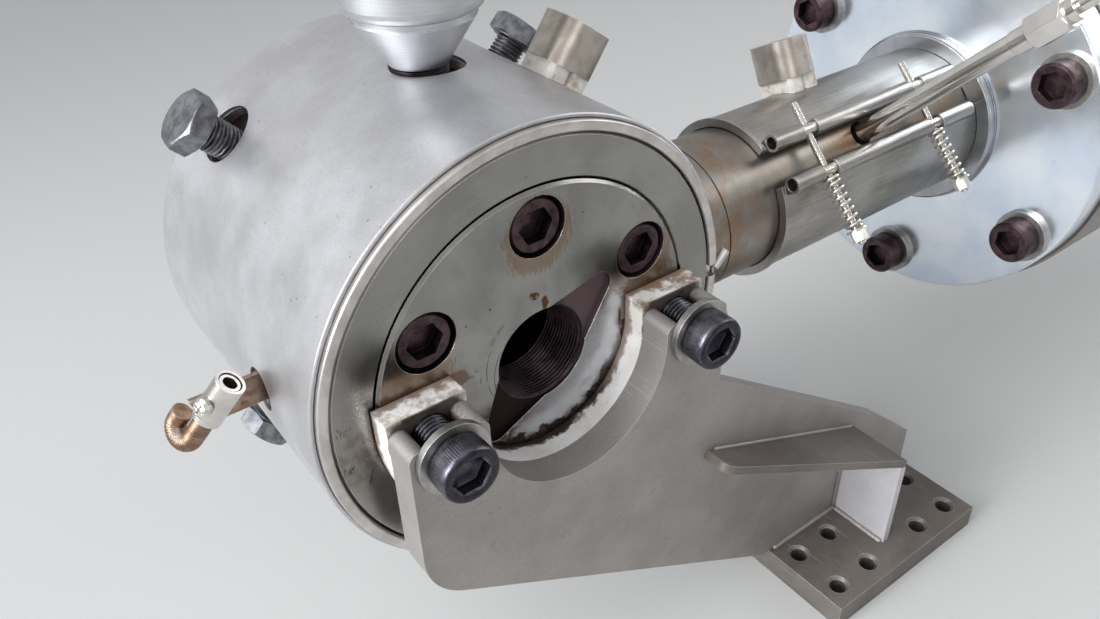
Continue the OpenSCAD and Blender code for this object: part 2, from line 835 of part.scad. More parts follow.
module adapter_flange() {
  r = adapter_flange_d / 2;
  color("lightgray") at_head() difference() {
    translate([0, adapter_y, 0]) rotate([0, 90, 0]) rotate_extrude()
      polygon([[adapter_r + fit, adapter_end], [flange_ring_r - edge, adapter_end],
        [flange_ring_r, adapter_end + edge], [flange_ring_r, adapter_flange_x],
        [r - edge, adapter_flange_x], [r, adapter_flange_x + edge], [r, adapter_back],
        [adapter_r + fit, adapter_back]]);
    for (a = adapter_angles) from_adapter_axis(a, 0)
      translate([adapter_flange_x - past, 0, adapter_screw_r]) rotate([0, 90, 0])
        cylinder(h = adapter_flange_t + 2 * past, r = clear_r);
  }
}

// The adapter's heater band: an open ring whose ends roll up into two tubes

tube_r = 4.4;
tube_bore_r = 3.2;
tube_lift_gap = 0.6;
tube_ring_r = band_r + tube_r + tube_lift_gap;
tube_side = tube_ring_r * sin(gap_half_angle);
tube_up = tube_ring_r * cos(gap_half_angle);
tube_start = band_start + 3;
tube_end = adapter_end - 14;
band_end = adapter_end - 0.6;
bead_w = 1.6;
bead_t = 1.1;
notch = 5;
clamp_xs = [clamp_near, clamp_far];

// A ring section with the wedge of the gap taken out
module gap_ring(outer_r) {
  far = 2 * band_r;
  difference() {
    circle(outer_r);
    circle(band_in_r);
    rotate(180 - gap_angle) polygon([[0, 0], [far * cos(gap_half_angle), far * sin(gap_half_angle)],
      [far * cos(gap_half_angle), -far * sin(gap_half_angle)]]);
  }
}

module band_tubes() {
  rotate(180 - gap_angle) for (s = [-1, 1]) rotate(s * gap_half_angle) difference() {
    union() {
      translate([tube_ring_r, 0]) circle(tube_r);
      translate([band_in_r + 2 * touch, s > 0 ? 0 : -tube_r])
        square([tube_ring_r - band_in_r, tube_r]);
    }
    translate([tube_ring_r, 0]) circle(tube_bore_r);
  }
}

module adapter_heater() {
  notch_w = 2 * (tube_side + tube_r + past);
  color("silver") at_head() difference() {
    union() {
      bar_x(band_start, band_end) gap_ring(band_r);
      bar_x(band_start, band_start + bead_w) gap_ring(band_r + bead_t);
      bar_x(tube_start, tube_end) band_tubes();
    }
    for (x = clamp_xs) from_adapter_axis(gap_angle, x)
      translate([-notch, -notch_w / 2, band_r + 4 * touch]) cube([2 * notch, notch_w, 5 * tube_r]);
  }
}

// The band's clamp: pins in the tubes, screws across, springs and nuts

rod_r = 2;
pin_l = 28;
screw_out = 15;
spring_start = tube_side + tube_bore_r + touch;
spring_len = 29;
spring_wire = 0.9;
spring_r = rod_r + 1.4;
spring_turns = 7;
nut_h = 6;
nut_af = 7;
nut_flange_r = 5.2;

module clamp_pins() {
  color("darkgray") at_head() for (x = clamp_xs) from_adapter_axis(gap_angle, x) for (s = [-1, 1])
    difference() {
      translate([-pin_l / 2, s * tube_side, tube_up]) rotate([0, 90, 0])
        cylinder(h = pin_l, r = tube_bore_r - 2 * touch);
      translate([0, s * tube_side - tube_r, tube_up]) rotate([-90, 0, 0])
        cylinder(h = 2 * tube_r, r = rod_r + touch);
    }
}

module clamp_screws() {
  low = spring_start + spring_len + nut_h + 2 * past;
  color("silver") at_head() for (x = clamp_xs) from_adapter_axis(gap_angle, x)
    translate([0, -low, tube_up]) rotate([-90, 0, 0])
      cylinder(h = low + tube_side + screw_out, r = rod_r);
}

// A coil spring along local Z: a round wire swept on a helix
module coil_spring(length, turns, coil_r, coil_wire, steps, sides) {
  n = turns * steps;
  function place(i) = [coil_r * cos(360 * i / steps), coil_r * sin(360 * i / steps),
    coil_wire + (length - 2 * coil_wire) * i / n];
  points = [for (i = [0 : n], k = [0 : sides - 1]) let (a = 360 * k / sides, t = 360 * i / steps)
    place(i) + coil_wire * [cos(a) * cos(t), cos(a) * sin(t), sin(a)]];
  sides_a = [for (i = [0 : n - 1], k = [0 : sides - 1]) let (m = (k + 1) % sides)
    [i * sides + k, i * sides + m, (i + 1) * sides + m]];
  sides_b = [for (i = [0 : n - 1], k = [0 : sides - 1]) let (m = (k + 1) % sides)
    [i * sides + k, (i + 1) * sides + m, (i + 1) * sides + k]];
  first = [for (k = [sides - 1 : -1 : 0]) k];
  last = [for (k = [0 : sides - 1]) n * sides + k];
  polyhedron(points, concat([first], sides_a, sides_b, [last]));
}

module clamp_springs() {
  color("palegoldenrod") at_head() for (x = clamp_xs) from_adapter_axis(gap_angle, x)
    translate([0, -spring_start - spring_len, tube_up]) rotate([-90, 0, 0])
      coil_spring(spring_len, spring_turns, spring_r, spring_wire, 12, 6);
}

module clamp_nuts() {
  color("palegoldenrod") at_head() for (x = clamp_xs) from_adapter_axis(gap_angle, x)
    translate([0, -spring_start - spring_len - touch, tube_up]) rotate([90, 0, 0]) difference() {
      union() {
        cylinder(h = edge, r = nut_flange_r);
        translate([0, 0, edge / 2]) cylinder(h = nut_h - edge / 2, r = nut_af / sqrt(3), $fn = 6);
      }
      translate([0, 0, -past]) cylinder(h = nut_h + 2 * past, r = rod_r + touch);
    }
}

// The joint with the barrel: screws, washers, seal ring and the barrel's flange

screw_bite = 24;
seal_r = 60;
barrel_flange_more = 2.5;

module adapter_washers() {
  color("darkkhaki") at_head() for (a = adapter_angles) from_adapter_axis(a, 0)
    translate([adapter_flange_x - touch, 0, adapter_screw_r]) rotate([0, -90, 0])
      flat_washer(washer_d, tap_r, washer_t);
}

module adapter_screws() {
  length = washer_t + adapter_flange_t + seal_t + screw_bite;
  color("dimgray") at_head() for (a = adapter_angles) from_adapter_axis(a, 0)
    translate([adapter_flange_x - washer_t - 2 * touch, 0, adapter_screw_r]) rotate([0, -90, 0])
      socket_screw(length, screw_head_d, screw_head_h, screw_d, socket_af);
}

module barrel_seal() {
  color("darkgoldenrod") at_head() difference() {
    rod_x(adapter_back + touch, barrel_x - touch, seal_r);
    rod_x(adapter_back - past, barrel_x + past, melt_d / 2 + edge);
  }
}

module barrel_flange() {
  r = adapter_flange_d / 2 + barrel_flange_more;
  back = barrel_x + barrel_flange_t;
  color("gainsboro") at_head() difference() {
    translate([0, adapter_y, 0]) rotate([0, 90, 0]) rotate_extrude()
      polygon([[melt_d / 2, barrel_x], [r - edge, barrel_x], [r, barrel_x + edge],
        [r, back], [melt_d / 2, back]]);
    for (a = adapter_angles) from_adapter_axis(a, 0)
      translate([barrel_x - past, 0, adapter_screw_r]) rotate([0, 90, 0])
        cylinder(h = screw_bite + 3 * past, r = tap_r);
  }
}

// The pressure probe in the gap of the heater band

stem_r = 5;
stem_seat_r = 6.4;
stem_seat_z = adapter_r - 7;
collar_l = 8.5;
probe_nut_z = 142;
probe_nut_l = 18;
probe_nut_af = 14;
probe_end_r = 5.4;
probe_end_l = 5;
probe_rod_r = 3;
probe_rod_l = 35;

module pressure_stem() {
  collar_r = stem_r + thin_edge;
  collar_z = probe_nut_z - collar_l;
  color("silver") at_head() from_adapter_axis(gap_angle, probe_x) rotate_extrude()
    polygon([[0, probe_seat_r + fit], [stem_seat_r, probe_seat_r + fit],
      [stem_seat_r, stem_seat_z], [stem_r, stem_seat_z + edge], [stem_r, collar_z - thin_edge],
      [collar_r, collar_z], [collar_r, probe_nut_z - touch], [0, probe_nut_z - touch]]);
}

module pressure_nut() {
  corner_r = probe_nut_af / sqrt(3) + touch;
  face_r = probe_nut_af / 2 - 4 * touch;
  bevel = corner_r - face_r;
  color("silver") at_head() from_adapter_axis(gap_angle, probe_x) translate([0, 0, probe_nut_z]) {
    intersection() {
      cylinder(h = probe_nut_l, r = probe_nut_af / sqrt(3), $fn = 6);
      rotate_extrude() polygon([[0, 0], [face_r, 0], [corner_r, bevel],
        [corner_r, probe_nut_l - bevel], [face_r, probe_nut_l], [0, probe_nut_l]]);
    }
    translate([0, 0, probe_nut_l - thin_edge]) cylinder(h = probe_end_l, r = probe_end_r);
  }
}

module pressure_rod() {
  start = probe_nut_z + probe_nut_l - thin_edge + probe_end_l + touch;
  end = start + probe_rod_l;
  color("silver") at_head() from_adapter_axis(gap_angle, probe_x) rotate_extrude()
    polygon([[0, start], [probe_rod_r, start], [probe_rod_r, end - edge],
      [probe_rod_r - edge, end], [0, end]]);
}

bracket_base();
bracket_web();
bracket_shelf();
bracket_gusset();
cradle_ring();
cradle_screws();
cradle_washers();
die_ring();
head_body();
retaining_flange();
flange_screws();
core_tip();
heater_ring();
jacket_sheet();
jacket_rim();
adjusting_bolts();
back_plate();
back_screws();
wire_guide();
stripe_neck();
stripe_nozzle();
stripe_flange();
probe_strap();
probe_socket();
probe_ferrule();
probe_screw();
probe_lead();
head_terminal_base();
head_terminal_cap();
adapter_tube();
adapter_flange();
adapter_heater();
clamp_pins();
clamp_screws();
clamp_springs();
clamp_nuts();
adapter_terminal_base();
adapter_terminal_cap();
adapter_screws();
adapter_washers();
barrel_seal();
barrel_flange();
pressure_stem();
pressure_nut();
pressure_rod();
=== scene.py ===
# %% [markdown]
# # A crosshead extrusion die head, dressed in Blender
# The CAD model is the frame: every node is already in its place. This notebook
# gives each node its finish and adds the fine forms that the solids leave out,
# such as threads, knurling, coiled springs and weld beads.

# %% The frame
import math

import bpy
import numpy as np
from mathutils import Matrix


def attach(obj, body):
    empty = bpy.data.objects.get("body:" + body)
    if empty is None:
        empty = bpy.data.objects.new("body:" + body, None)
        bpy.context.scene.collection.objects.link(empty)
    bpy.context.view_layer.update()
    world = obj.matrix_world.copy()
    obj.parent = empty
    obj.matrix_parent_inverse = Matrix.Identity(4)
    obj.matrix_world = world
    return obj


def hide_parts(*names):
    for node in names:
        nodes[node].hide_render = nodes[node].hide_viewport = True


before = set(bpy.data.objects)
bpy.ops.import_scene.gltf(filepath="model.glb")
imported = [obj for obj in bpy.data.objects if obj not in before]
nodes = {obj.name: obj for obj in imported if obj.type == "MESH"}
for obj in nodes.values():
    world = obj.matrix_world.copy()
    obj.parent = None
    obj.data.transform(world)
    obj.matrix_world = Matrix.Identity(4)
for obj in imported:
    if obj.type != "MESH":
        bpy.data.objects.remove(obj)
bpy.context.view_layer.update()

# %% [markdown]
# Two reference frames are enough. The head's own frame has its origin in the
# middle of the open face, X towards the adapter, Y into the head and Z up, all
# in millimetres. The row's frame is metres from the middle of the base. Pieces
# are worked out in the head's frame and moved once, at the end.

# %% Head's frame
HEAD = np.array((-0.193, 0.020, 0.205))
MM = 1000.0


def to_row(points):
    """Head's frame in millimetres to the row's frame in metres: p / 1000 + HEAD."""
    return np.asarray(points, float) / MM + HEAD


print("head face at", HEAD)

# %% [markdown]
# The solids' main sizes are named once, in millimetres in the head's frame, and
# both the stains and the fine forms take their places from them.

# %% Main sizes
# The retaining flange, the circle of its screws, and its threaded bore
FLANGE_R = 76.0
FLANGE_SCREW_CIRCLE = 60.0
BORE_R = 22.0
# Shanks of the large screws; the cradle's two, at -X and +X, with seat and head
SHANK_R = 8.0
CRADLE_SCREW_X = 61.0
CRADLE_SCREW_SEAT = -31.3
CRADLE_SCREW_HEAD = 11.5
# Places along the head of the stripe nozzle and of the adjusting bolts
NOZZLE_Y = 78.0
ADJUST_Y = 128.0
ADJUST_SEAT = 111.6
# The adapter's axis and boss, the gap in its heater band, and the two clamps
ADAPTER_Y = 46.9
ADAPTER_BOSS_R = 51.0
GAP_ANGLE = math.radians(43.5)
CLAMPS_X = (180.0, 265.0)
# Faces of the bracket's web, and the top of its base
WEB_FRONT_Y = -28.1
WEB_BACK_Y = -20.1
BASE_TOP_Z = -190.0
print("flange", 2 * FLANGE_R, "mm, bore", 2 * BORE_R, "mm")

# %% [markdown]
# ## Camera, floor and light
# The camera stands where the photograph was taken from: close to the head, up
# to the left, looking down. It was worked out from the circles of the face and
# of the adapter. A shift isn't needed, as the view is centred on its axis.


# %% Camera
def standing(place, x, y, z):
    """Matrix of an object at place whose own axes point along x, y and z."""
    matrix = Matrix.Identity(4)
    for k, column in enumerate((x, y, z, place)):
        for i in range(3):
            matrix[i][k] = column[i]
    return matrix


photo_width = 1100
focal_pixels = 947.03
film_width = 36.0
right = np.array((0.8022, -0.5963, -0.0294))
down = np.array((-0.3606, -0.4446, -0.8199))
forward = np.array((0.4759, 0.6684, -0.5717))
eye = (-0.36949, -0.23494, 0.44269)
camera = bpy.data.objects.new("camera", bpy.data.cameras.new("camera"))
bpy.context.scene.collection.objects.link(camera)
camera.data.sensor_width = film_width
camera.data.lens = focal_pixels / photo_width * film_width
camera.data.clip_start = 0.01
camera.matrix_world = standing(eye, right, -down, -forward)
bpy.context.scene.camera = camera
bpy.context.scene.view_settings.view_transform = "Standard"
print("lens", round(camera.data.lens, 2), "mm")

# %% [markdown]
# Bare metal shows what stands round it, so the light is the main tool. A pale
# world lights from all sides and is darker low down, with its bright pole tilted
# to the upper left. What the camera sees behind the machine is also what the
# metal mirrors, so camera, glossy and transmission rays share one plain backdrop.

# %% World
bright_pole = (-0.42, 0.0, 0.91)
world = bpy.data.worlds.new("studio")
bpy.context.scene.world = world
world.use_nodes = True
wt = world.node_tree
wt.nodes.clear()
coord = wt.nodes.new("ShaderNodeTexCoord")
rise = wt.nodes.new("ShaderNodeVectorMath")
rise.operation = "DOT_PRODUCT"
rise.inputs[1].default_value = bright_pole
wt.links.new(coord.outputs["Generated"], rise.inputs[0])
half = wt.nodes.new("ShaderNodeMapRange")
half.inputs["From Min"].default_value = -1.0
wt.links.new(rise.outputs["Value"], half.inputs["Value"])


def backdrop(low, middle, top, strength):
    """A world shader: low at the lower right, top at the upper left, middle between."""
    ramp = wt.nodes.new("ShaderNodeValToRGB")
    ramp.color_ramp.elements[0].color = low + (1,)
    ramp.color_ramp.elements[1].color = top + (1,)
    ramp.color_ramp.elements.new(0.5).color = middle + (1,)
    wt.links.new(half.outputs["Result"], ramp.inputs["Fac"])
    shader = wt.nodes.new("ShaderNodeBackground")
    shader.inputs["Strength"].default_value = strength
    wt.links.new(ramp.outputs["Color"], shader.inputs["Color"])
    return shader.outputs[0]


light = backdrop((0.10, 0.10, 0.105), (0.36, 0.37, 0.39), (0.86, 0.88, 0.92), 0.85)
plain = backdrop((0.30, 0.30, 0.30), (0.55, 0.555, 0.56), (0.80, 0.81, 0.82), 1.0)
rays = wt.nodes.new("ShaderNodeLightPath")
seen = rays.outputs["Is Camera Ray"]
for kind in ("Is Glossy Ray", "Is Transmission Ray"):
    both = wt.nodes.new("ShaderNodeMath")
    both.operation = "MAXIMUM"
    wt.links.new(seen, both.inputs[0])
    wt.links.new(rays.outputs[kind], both.inputs[1])
    seen = both.outputs[0]
choose = wt.nodes.new("ShaderNodeMixShader")
wt.links.new(seen, choose.inputs["Fac"])
wt.links.new(light, choose.inputs[1])
wt.links.new(plain, choose.inputs[2])
end = wt.nodes.new("ShaderNodeOutputWorld")
wt.links.new(choose.outputs[0], end.inputs["Surface"])
print("world made")

# %% [markdown]
# Four soft lamps add the shape. A large one hangs over the left shoulder like the
# hall's window. One stands low at the left, where the side faces are almost
# white, far enough off and narrow enough to leave the floor alone. Two weaker
# ones fill the front and the right. Their powers are low, so nothing clips.


# %% Lamps
def soft_lamp(name, place, aim, size, power, colour=(1, 1, 1), spread=180):
    """A square lamp of that size at place, turned so that its -Z axis points at aim."""
    lamp = bpy.data.objects.new(name, bpy.data.lights.new(name, "AREA"))
    lamp.data.shape = "SQUARE"
    lamp.data.size = size
    lamp.data.energy = power
    lamp.data.spread = math.radians(spread)
    lamp.data.color = colour
    bpy.context.scene.collection.objects.link(lamp)
    z = np.array(place, float) - np.array(aim, float)
    z /= np.linalg.norm(z)
    x = np.cross((0, 0, 1), z)
    x /= np.linalg.norm(x)
    lamp.matrix_world = standing(place, x, np.cross(z, x), z)


soft_lamp("lamp_window", (-1.5, 0.3, 1.7), (-0.15, 0.05, 0.2), 1.3, 17, (0.97, 0.98, 1.0))
soft_lamp("lamp_left", (-2.2, 0.15, 0.95), (-0.05, 0.0, 0.2), 1.3, 9, (0.95, 0.975, 1.0), 50)
soft_lamp("lamp_front", (-0.5, -1.9, 0.9), (0.0, 0.0, 0.15), 1.0, 6)
soft_lamp("lamp_right", (1.7, -0.6, 1.2), (0.1, 0.0, 0.2), 0.9, 8)
print(len(bpy.data.lights), "lamps")

# %% [markdown]
# The floor is one plain, pale, dull square. It is wide enough to fill the picture
# and a little under the white of paper, so that the lamps don't burn it out.

# %% Floor
side = 6.0
corners = [(-side, -side, 0), (side, -side, 0), (side, side, 0), (-side, side, 0)]
floor_mesh = bpy.data.meshes.new("floor")
floor_mesh.from_pydata(corners, [], [(0, 1, 2, 3)])
floor = bpy.data.objects.new("floor", floor_mesh)
bpy.context.scene.collection.objects.link(floor)
pale_grey = (0.52, 0.52, 0.51, 1)
floor_mat = bpy.data.materials.new("floor")
floor_mat.use_nodes = True
floor_shader = floor_mat.node_tree.nodes["Principled BSDF"]
floor_shader.inputs["Base Color"].default_value = pale_grey
floor_shader.inputs["Roughness"].default_value = 0.75
floor_mesh.materials.append(floor_mat)
print("floor", 2 * side, "m wide")

# %% [markdown]
# ## Finishes
# Each finish is a small node graph on Object coordinates, in millimetres about
# the middle of the head's face, so that a noise of size 2 has grains of about
# 2 mm on every piece. Broken edges come from the bevel node, which rounds the
# normal where two faces meet and also says where an edge is worn bright. A mask
# is a number from 0 to 1, and most finishes are one clean tone with a stain laid
# over it by each mask in turn. Some masks lay painted shade into corners, holes
# and gaps instead, from the ambient occlusion node.


# %% Tools for finishes
def rgb(r, g, b):
    """Display values 0..255 to the linear colour that renders as them."""
    c = np.array((r, g, b)) / 255.0
    low = c / 12.92
    high = ((c + 0.055) / 1.055) ** 2.4
    return tuple(np.where(c <= 0.04045, low, high)) + (1.0,)


BARE = rgb(236, 236, 236)
SHINY = rgb(240, 240, 238)
FEW_SAMPLES = 4
EDGE_COSINES = (0.995, 0.90)
finishes = {}


class Finish:
    """A material under construction, with one short call for each kind of node."""

    def __init__(self, name, metallic=1.0, bevel=0.5, origin=(0, 0, 0)):
        """Starts the graph: bevel is a broken edge's radius, origin where the axes meet."""
        self.name = name
        self.mat = bpy.data.materials.new(name)
        self.mat.use_nodes = True
        self.tree = self.mat.node_tree
        self.tree.nodes.clear()
        end = self.tree.nodes.new("ShaderNodeOutputMaterial")
        self.shader = self.tree.nodes.new("ShaderNodeBsdfPrincipled")
        self.tree.links.new(self.shader.outputs[0], end.inputs["Surface"])
        self.shader.inputs["Metallic"].default_value = metallic
        coord = self.tree.nodes.new("ShaderNodeTexCoord").outputs["Object"]
        self.mm = self.vec("MULTIPLY", self.vec("SUBTRACT", coord, tuple(to_row(origin))), (MM, MM, MM))
        node = self.tree.nodes.new("ShaderNodeBevel")
        node.samples = FEW_SAMPLES
        node.inputs["Radius"].default_value = bevel / MM
        geo = self.tree.nodes.new("ShaderNodeNewGeometry")
        self.normal = node.outputs["Normal"]
        alike = self.vec("DOT_PRODUCT", node.outputs["Normal"], geo.outputs["Normal"], out="Value")
        self.edge = self.span(alike, *EDGE_COSINES)

    def put(self, socket, value):
        """Links a node's output to the socket, or sets the socket to a plain value."""
        if isinstance(value, bpy.types.NodeSocket):
            self.tree.links.new(value, socket)
        else:
            socket.default_value = value

    def vec(self, op, a, b=None, out="Vector"):
        """One vector sum, product or other step on a and b."""
        node = self.tree.nodes.new("ShaderNodeVectorMath")
        node.operation = op
        self.put(node.inputs[0], a)
        if b is not None:
            self.put(node.inputs[1], b)
        return node.outputs[out]

    def calc(self, op, a, b=0.0, c=None):
        """One step of arithmetic on a, b and c."""
        node = self.tree.nodes.new("ShaderNodeMath")
        node.operation = op
        self.put(node.inputs[0], a)
        self.put(node.inputs[1], b)
        if c is not None:
            self.put(node.inputs[2], c)
        return node.outputs[0]

    def times(self, a, b):
        """a times b: for masks, what both of them cover."""
        return self.calc("MULTIPLY", a, b)

    def plus(self, a, b):
        """a plus b."""
        return self.calc("ADD", a, b)

    def minus(self, a, b):
        """a less b."""
        return self.calc("SUBTRACT", a, b)

    def either(self, *masks):
        """The largest of the masks at each point."""
        total = masks[0]
        for mask in masks[1:]:
            total = self.calc("MAXIMUM", total, mask)
        return total

    def axes(self):
        """X, Y and Z in millimetres from the finish's origin."""
        node = self.tree.nodes.new("ShaderNodeSeparateXYZ")
        self.put(node.inputs[0], self.mm)
        return node.outputs

    def radius(self, a, b):
        """Distance from an axis: sqrt(a^2 + b^2)."""
        return self.calc("SQRT", self.plus(self.times(a, a), self.times(b, b)))

    def join(self, x, y, z):
        """A vector of three numbers."""
        node = self.tree.nodes.new("ShaderNodeCombineXYZ")
        for socket, value in zip(node.inputs, (x, y, z)):
            self.put(socket, value)
        return node.outputs[0]

    def noise(self, size, detail=3.0, rough=0.55, at=None):
        """Cloudy noise with features of about size millimetres."""
        node = self.tree.nodes.new("ShaderNodeTexNoise")
        self.put(node.inputs["Vector"], at or self.mm)
        node.inputs["Scale"].default_value = 1.0 / size
        node.inputs["Detail"].default_value = detail
        node.inputs["Roughness"].default_value = rough
        return node.outputs["Fac"]

    def wobble(self, reach, size, detail=3.0, rough=0.55):
        """Noise from -reach to reach millimetres, which makes a mask's outline ragged."""
        return self.scale(self.noise(size, detail, rough), -reach, reach)

    def cells(self, size):
        """Cells of about size millimetres: the distance from each cell's point."""
        node = self.tree.nodes.new("ShaderNodeTexVoronoi")
        self.put(node.inputs["Vector"], self.mm)
        node.inputs["Scale"].default_value = 1.0 / size
        return node.outputs["Distance"]

    def crevice_shade(self, reach, low=0.35, high=0.75):
        """Painted shade: 0 in the open, 1 in a corner, hole or gap less than about reach millimetres
        wide.
        """
        node = self.tree.nodes.new("ShaderNodeAmbientOcclusion")
        node.samples = FEW_SAMPLES
        node.inputs["Distance"].default_value = reach / MM
        return self.span(node.outputs["AO"], 1.0 - low, 1.0 - high)

    def span(self, value, low, high):
        """Smooth step from 0 at low to 1 at high, either way round."""
        node = self.tree.nodes.new("ShaderNodeMapRange")
        node.interpolation_type = "SMOOTHSTEP"
        self.put(node.inputs["Value"], value)
        if low < high:
            node.inputs["From Min"].default_value = low
            node.inputs["From Max"].default_value = high
            return node.outputs["Result"]
        node.inputs["From Min"].default_value = high
        node.inputs["From Max"].default_value = low
        return self.minus(1.0, node.outputs["Result"])

    def scale(self, value, low, high):
        """Straight line from low at 0 to high at 1."""
        return self.calc("MULTIPLY_ADD", value, high - low, low)

    def mix(self, fac, a, b):
        """Colour a where fac is 0, b where it is 1."""
        node = self.tree.nodes.new("ShaderNodeMix")
        node.data_type = "RGBA"
        self.put(node.inputs[0], fac)
        self.put(node.inputs[6], a)
        self.put(node.inputs[7], b)
        return node.outputs[2]

    def lay(self, tone, mask, share, stain):
        """The stain's colour over the tone where the mask is 1, as opaque as share."""
        return self.mix(self.times(mask, share), tone, stain)

    def bump(self, height, depth, strength=1.0):
        """Adds relief of that depth in millimetres to the surface."""
        node = self.tree.nodes.new("ShaderNodeBump")
        node.inputs["Strength"].default_value = strength
        node.inputs["Distance"].default_value = depth / MM
        self.put(node.inputs["Height"], height)
        self.put(node.inputs["Normal"], self.normal)
        self.normal = node.outputs["Normal"]

    def done(self, colour, rough):
        """Links colour, roughness and normal, and keeps the material under the finish's name."""
        self.put(self.shader.inputs["Base Color"], colour)
        self.put(self.shader.inputs["Roughness"], rough)
        self.put(self.shader.inputs["Normal"], self.normal)
        finishes[self.name] = self.mat


def paint(name, material):
    """Gives a CAD node one material."""
    mesh = nodes[name].data
    mesh.materials.clear()
    mesh.materials.append(material)


print("tools ready")

# %% [markdown]
# ### Blasted sheet
# The jacket is stainless sheet, blasted with beads: even, matt and pale, with a
# fine grain, faint clouds, some dark specks and a few light scratches. The
# bracket was blasted too, but its plate is duller and warmer. One recipe with a
# few tones serves both, so that they look like work of the same shop.


# %% Blasted sheet
def streaks(f, width, length, turn, few=0.74, clear=0.03):
    """Short straight scratches: noise drawn out along one direction, only its highest ridges."""
    node = f.tree.nodes.new("ShaderNodeMapping")
    f.put(node.inputs["Vector"], f.mm)
    node.inputs["Rotation"].default_value = turn
    node.inputs["Scale"].default_value = (1.0, width / length, 1.0)
    ridge = f.noise(width * 2.5, 1, 0.4, at=node.outputs[0])
    return f.times(f.span(ridge, few, few + clear), f.span(f.noise(60, 2), 0.45, 0.6))


def specks(f, size, dot, cluster, few):
    """Dark dots: the middles of cells, kept only where a wide noise is high."""
    return f.times(f.span(f.cells(size), *dot), f.span(f.noise(cluster, 2), few, few + 0.08))


def screw_shade(f, reach=15.0):
    """Mask of painted shade: 1 round the shanks of the cradle's two screws, behind their washers, 0
    elsewhere.
    """
    x, y, z = f.axes()
    away = f.radius(f.minus(f.calc("ABSOLUTE", x), CRADLE_SCREW_X), z)
    away = f.plus(away, f.wobble(6, 5, 4, 0.7))
    return f.times(f.span(away, reach, reach - 5.0), f.span(y, -29.0, -23.0))


def blasted_sheet(name, pale, deep, dull, metallic, rough, dots=0.5, shine=0.6, painted_shade=0.0):
    """Clouds of pale and deep, a dull grain, then dots, scratches, bright edges and painted shade."""
    f = Finish(name, metallic, bevel=0.35)
    tone = f.mix(f.span(f.noise(42, 4, 0.6), 0.32, 0.7), pale, deep)
    grain = f.noise(0.6, 2, 0.6)
    tone = f.lay(tone, f.span(grain, 0.4, 0.72), 0.35, dull)
    tone = f.lay(tone, f.span(f.noise(9, 4, 0.7), 0.6, 0.75), 0.3, dull)
    tone = f.lay(tone, specks(f, 6.5, (0.1, 0.05), 21, 0.52), dots, rgb(74, 66, 60))
    scratches = f.either(streaks(f, 0.25, 16, (0.2, 0.1, 0.9)), streaks(f, 0.2, 9, (0.5, 0.2, -0.6)))
    tone = f.lay(tone, scratches, 0.45, BARE)
    tone = f.lay(tone, f.edge, shine, BARE)
    # Painted shade: darker in corners and gaps, and round the cradle's screws behind their washers
    if painted_shade:
        tone = f.lay(tone, f.crevice_shade(9.0), painted_shade, rgb(62, 52, 46))
        tone = f.lay(tone, screw_shade(f), painted_shade, rgb(52, 38, 31))
    f.bump(grain, 0.05, 0.5)
    f.bump(scratches, 0.02, 0.5)
    f.done(tone, f.scale(f.noise(12, 3), rough - 0.05, rough + 0.08))


blasted_sheet("jacket_sheet", rgb(202, 202, 205), rgb(182, 181, 183), rgb(150, 148, 148), 0.85, 0.38)
blasted_sheet("bracket_steel", rgb(164, 159, 155), rgb(146, 141, 137), rgb(108, 102, 98), 0.55, 0.50,
              dots=0.35, shine=0.45, painted_shade=0.8)
# A darker copy of the bracket's steel for its foot and shelf: painted shade
blasted_sheet("shaded_bracket_steel", rgb(126, 119, 113), rgb(104, 97, 91), rgb(84, 78, 74), 0.55, 0.50,
              dots=0.35, shine=0.60, painted_shade=0.5)
# A paler copy of the bracket's steel for the gusset: painted light
blasted_sheet("lit_bracket_steel", rgb(214, 212, 216), rgb(196, 194, 198), rgb(166, 163, 164), 0.45, 0.50,
              dots=0.30, shine=0.45)
print(len(finishes), "finishes so far")

# %% [markdown]
# ### Cradle
# Years of hot plastic have left a whitish crust on the cradle, brown where it met
# the flange, and almost black along the lower edge. Its corners and the places
# behind the screws are darkened by painted shade. The crust hides the metal, so
# it is only a little metallic.

# %% Cradle
f = Finish("cradle_steel", bevel=0.6, metallic=0.2)
x, y, z = f.axes()
cloud = f.noise(7, 5, 0.65)
tone = f.mix(f.span(f.noise(16, 3), 0.35, 0.65), rgb(240, 238, 236), rgb(224, 219, 212))
# Brown next to the flange, and on the lugs' tops, more on the right one
back = f.span(f.plus(y, f.scale(cloud, -6.0, 6.0)), -5.6, -3.0)
tone = f.lay(tone, back, 0.8, rgb(132, 108, 92))
top = f.times(f.span(z, 6.0, 10.0), f.span(cloud, 0.42, 0.6))
tone = f.mix(f.times(top, f.scale(f.span(x, -20.0, 20.0), 0.65, 0.95)), tone, rgb(140, 116, 96))
# Almost black along the lower edge, with fine pits all over
low = f.times(f.span(f.plus(z, f.wobble(12, 9)), -22.0, -34.0), back)
tone = f.mix(low, tone, rgb(46, 36, 32))
tone = f.lay(tone, f.span(f.noise(1.6, 3, 0.7), 0.62, 0.72), 0.5, rgb(134, 112, 98))
# Rust along the lugs' edges, and painted shade in the corners and behind the screws
lip = f.times(f.edge, f.times(f.span(f.noise(3, 3), 0.42, 0.58), f.span(z, 2.0, 8.0)))
tone = f.lay(tone, lip, 0.7, rgb(112, 88, 74))
tone = f.lay(tone, f.crevice_shade(7.0), 0.8, rgb(70, 50, 38))
behind = f.times(screw_shade(f, 20.0), f.span(y, -11.6, -12.6))
tone = f.lay(tone, behind, 0.92, rgb(50, 35, 27))
f.bump(f.noise(2.2, 5, 0.65), 0.25, 0.6)
f.done(tone, f.scale(cloud, 0.42, 0.70))

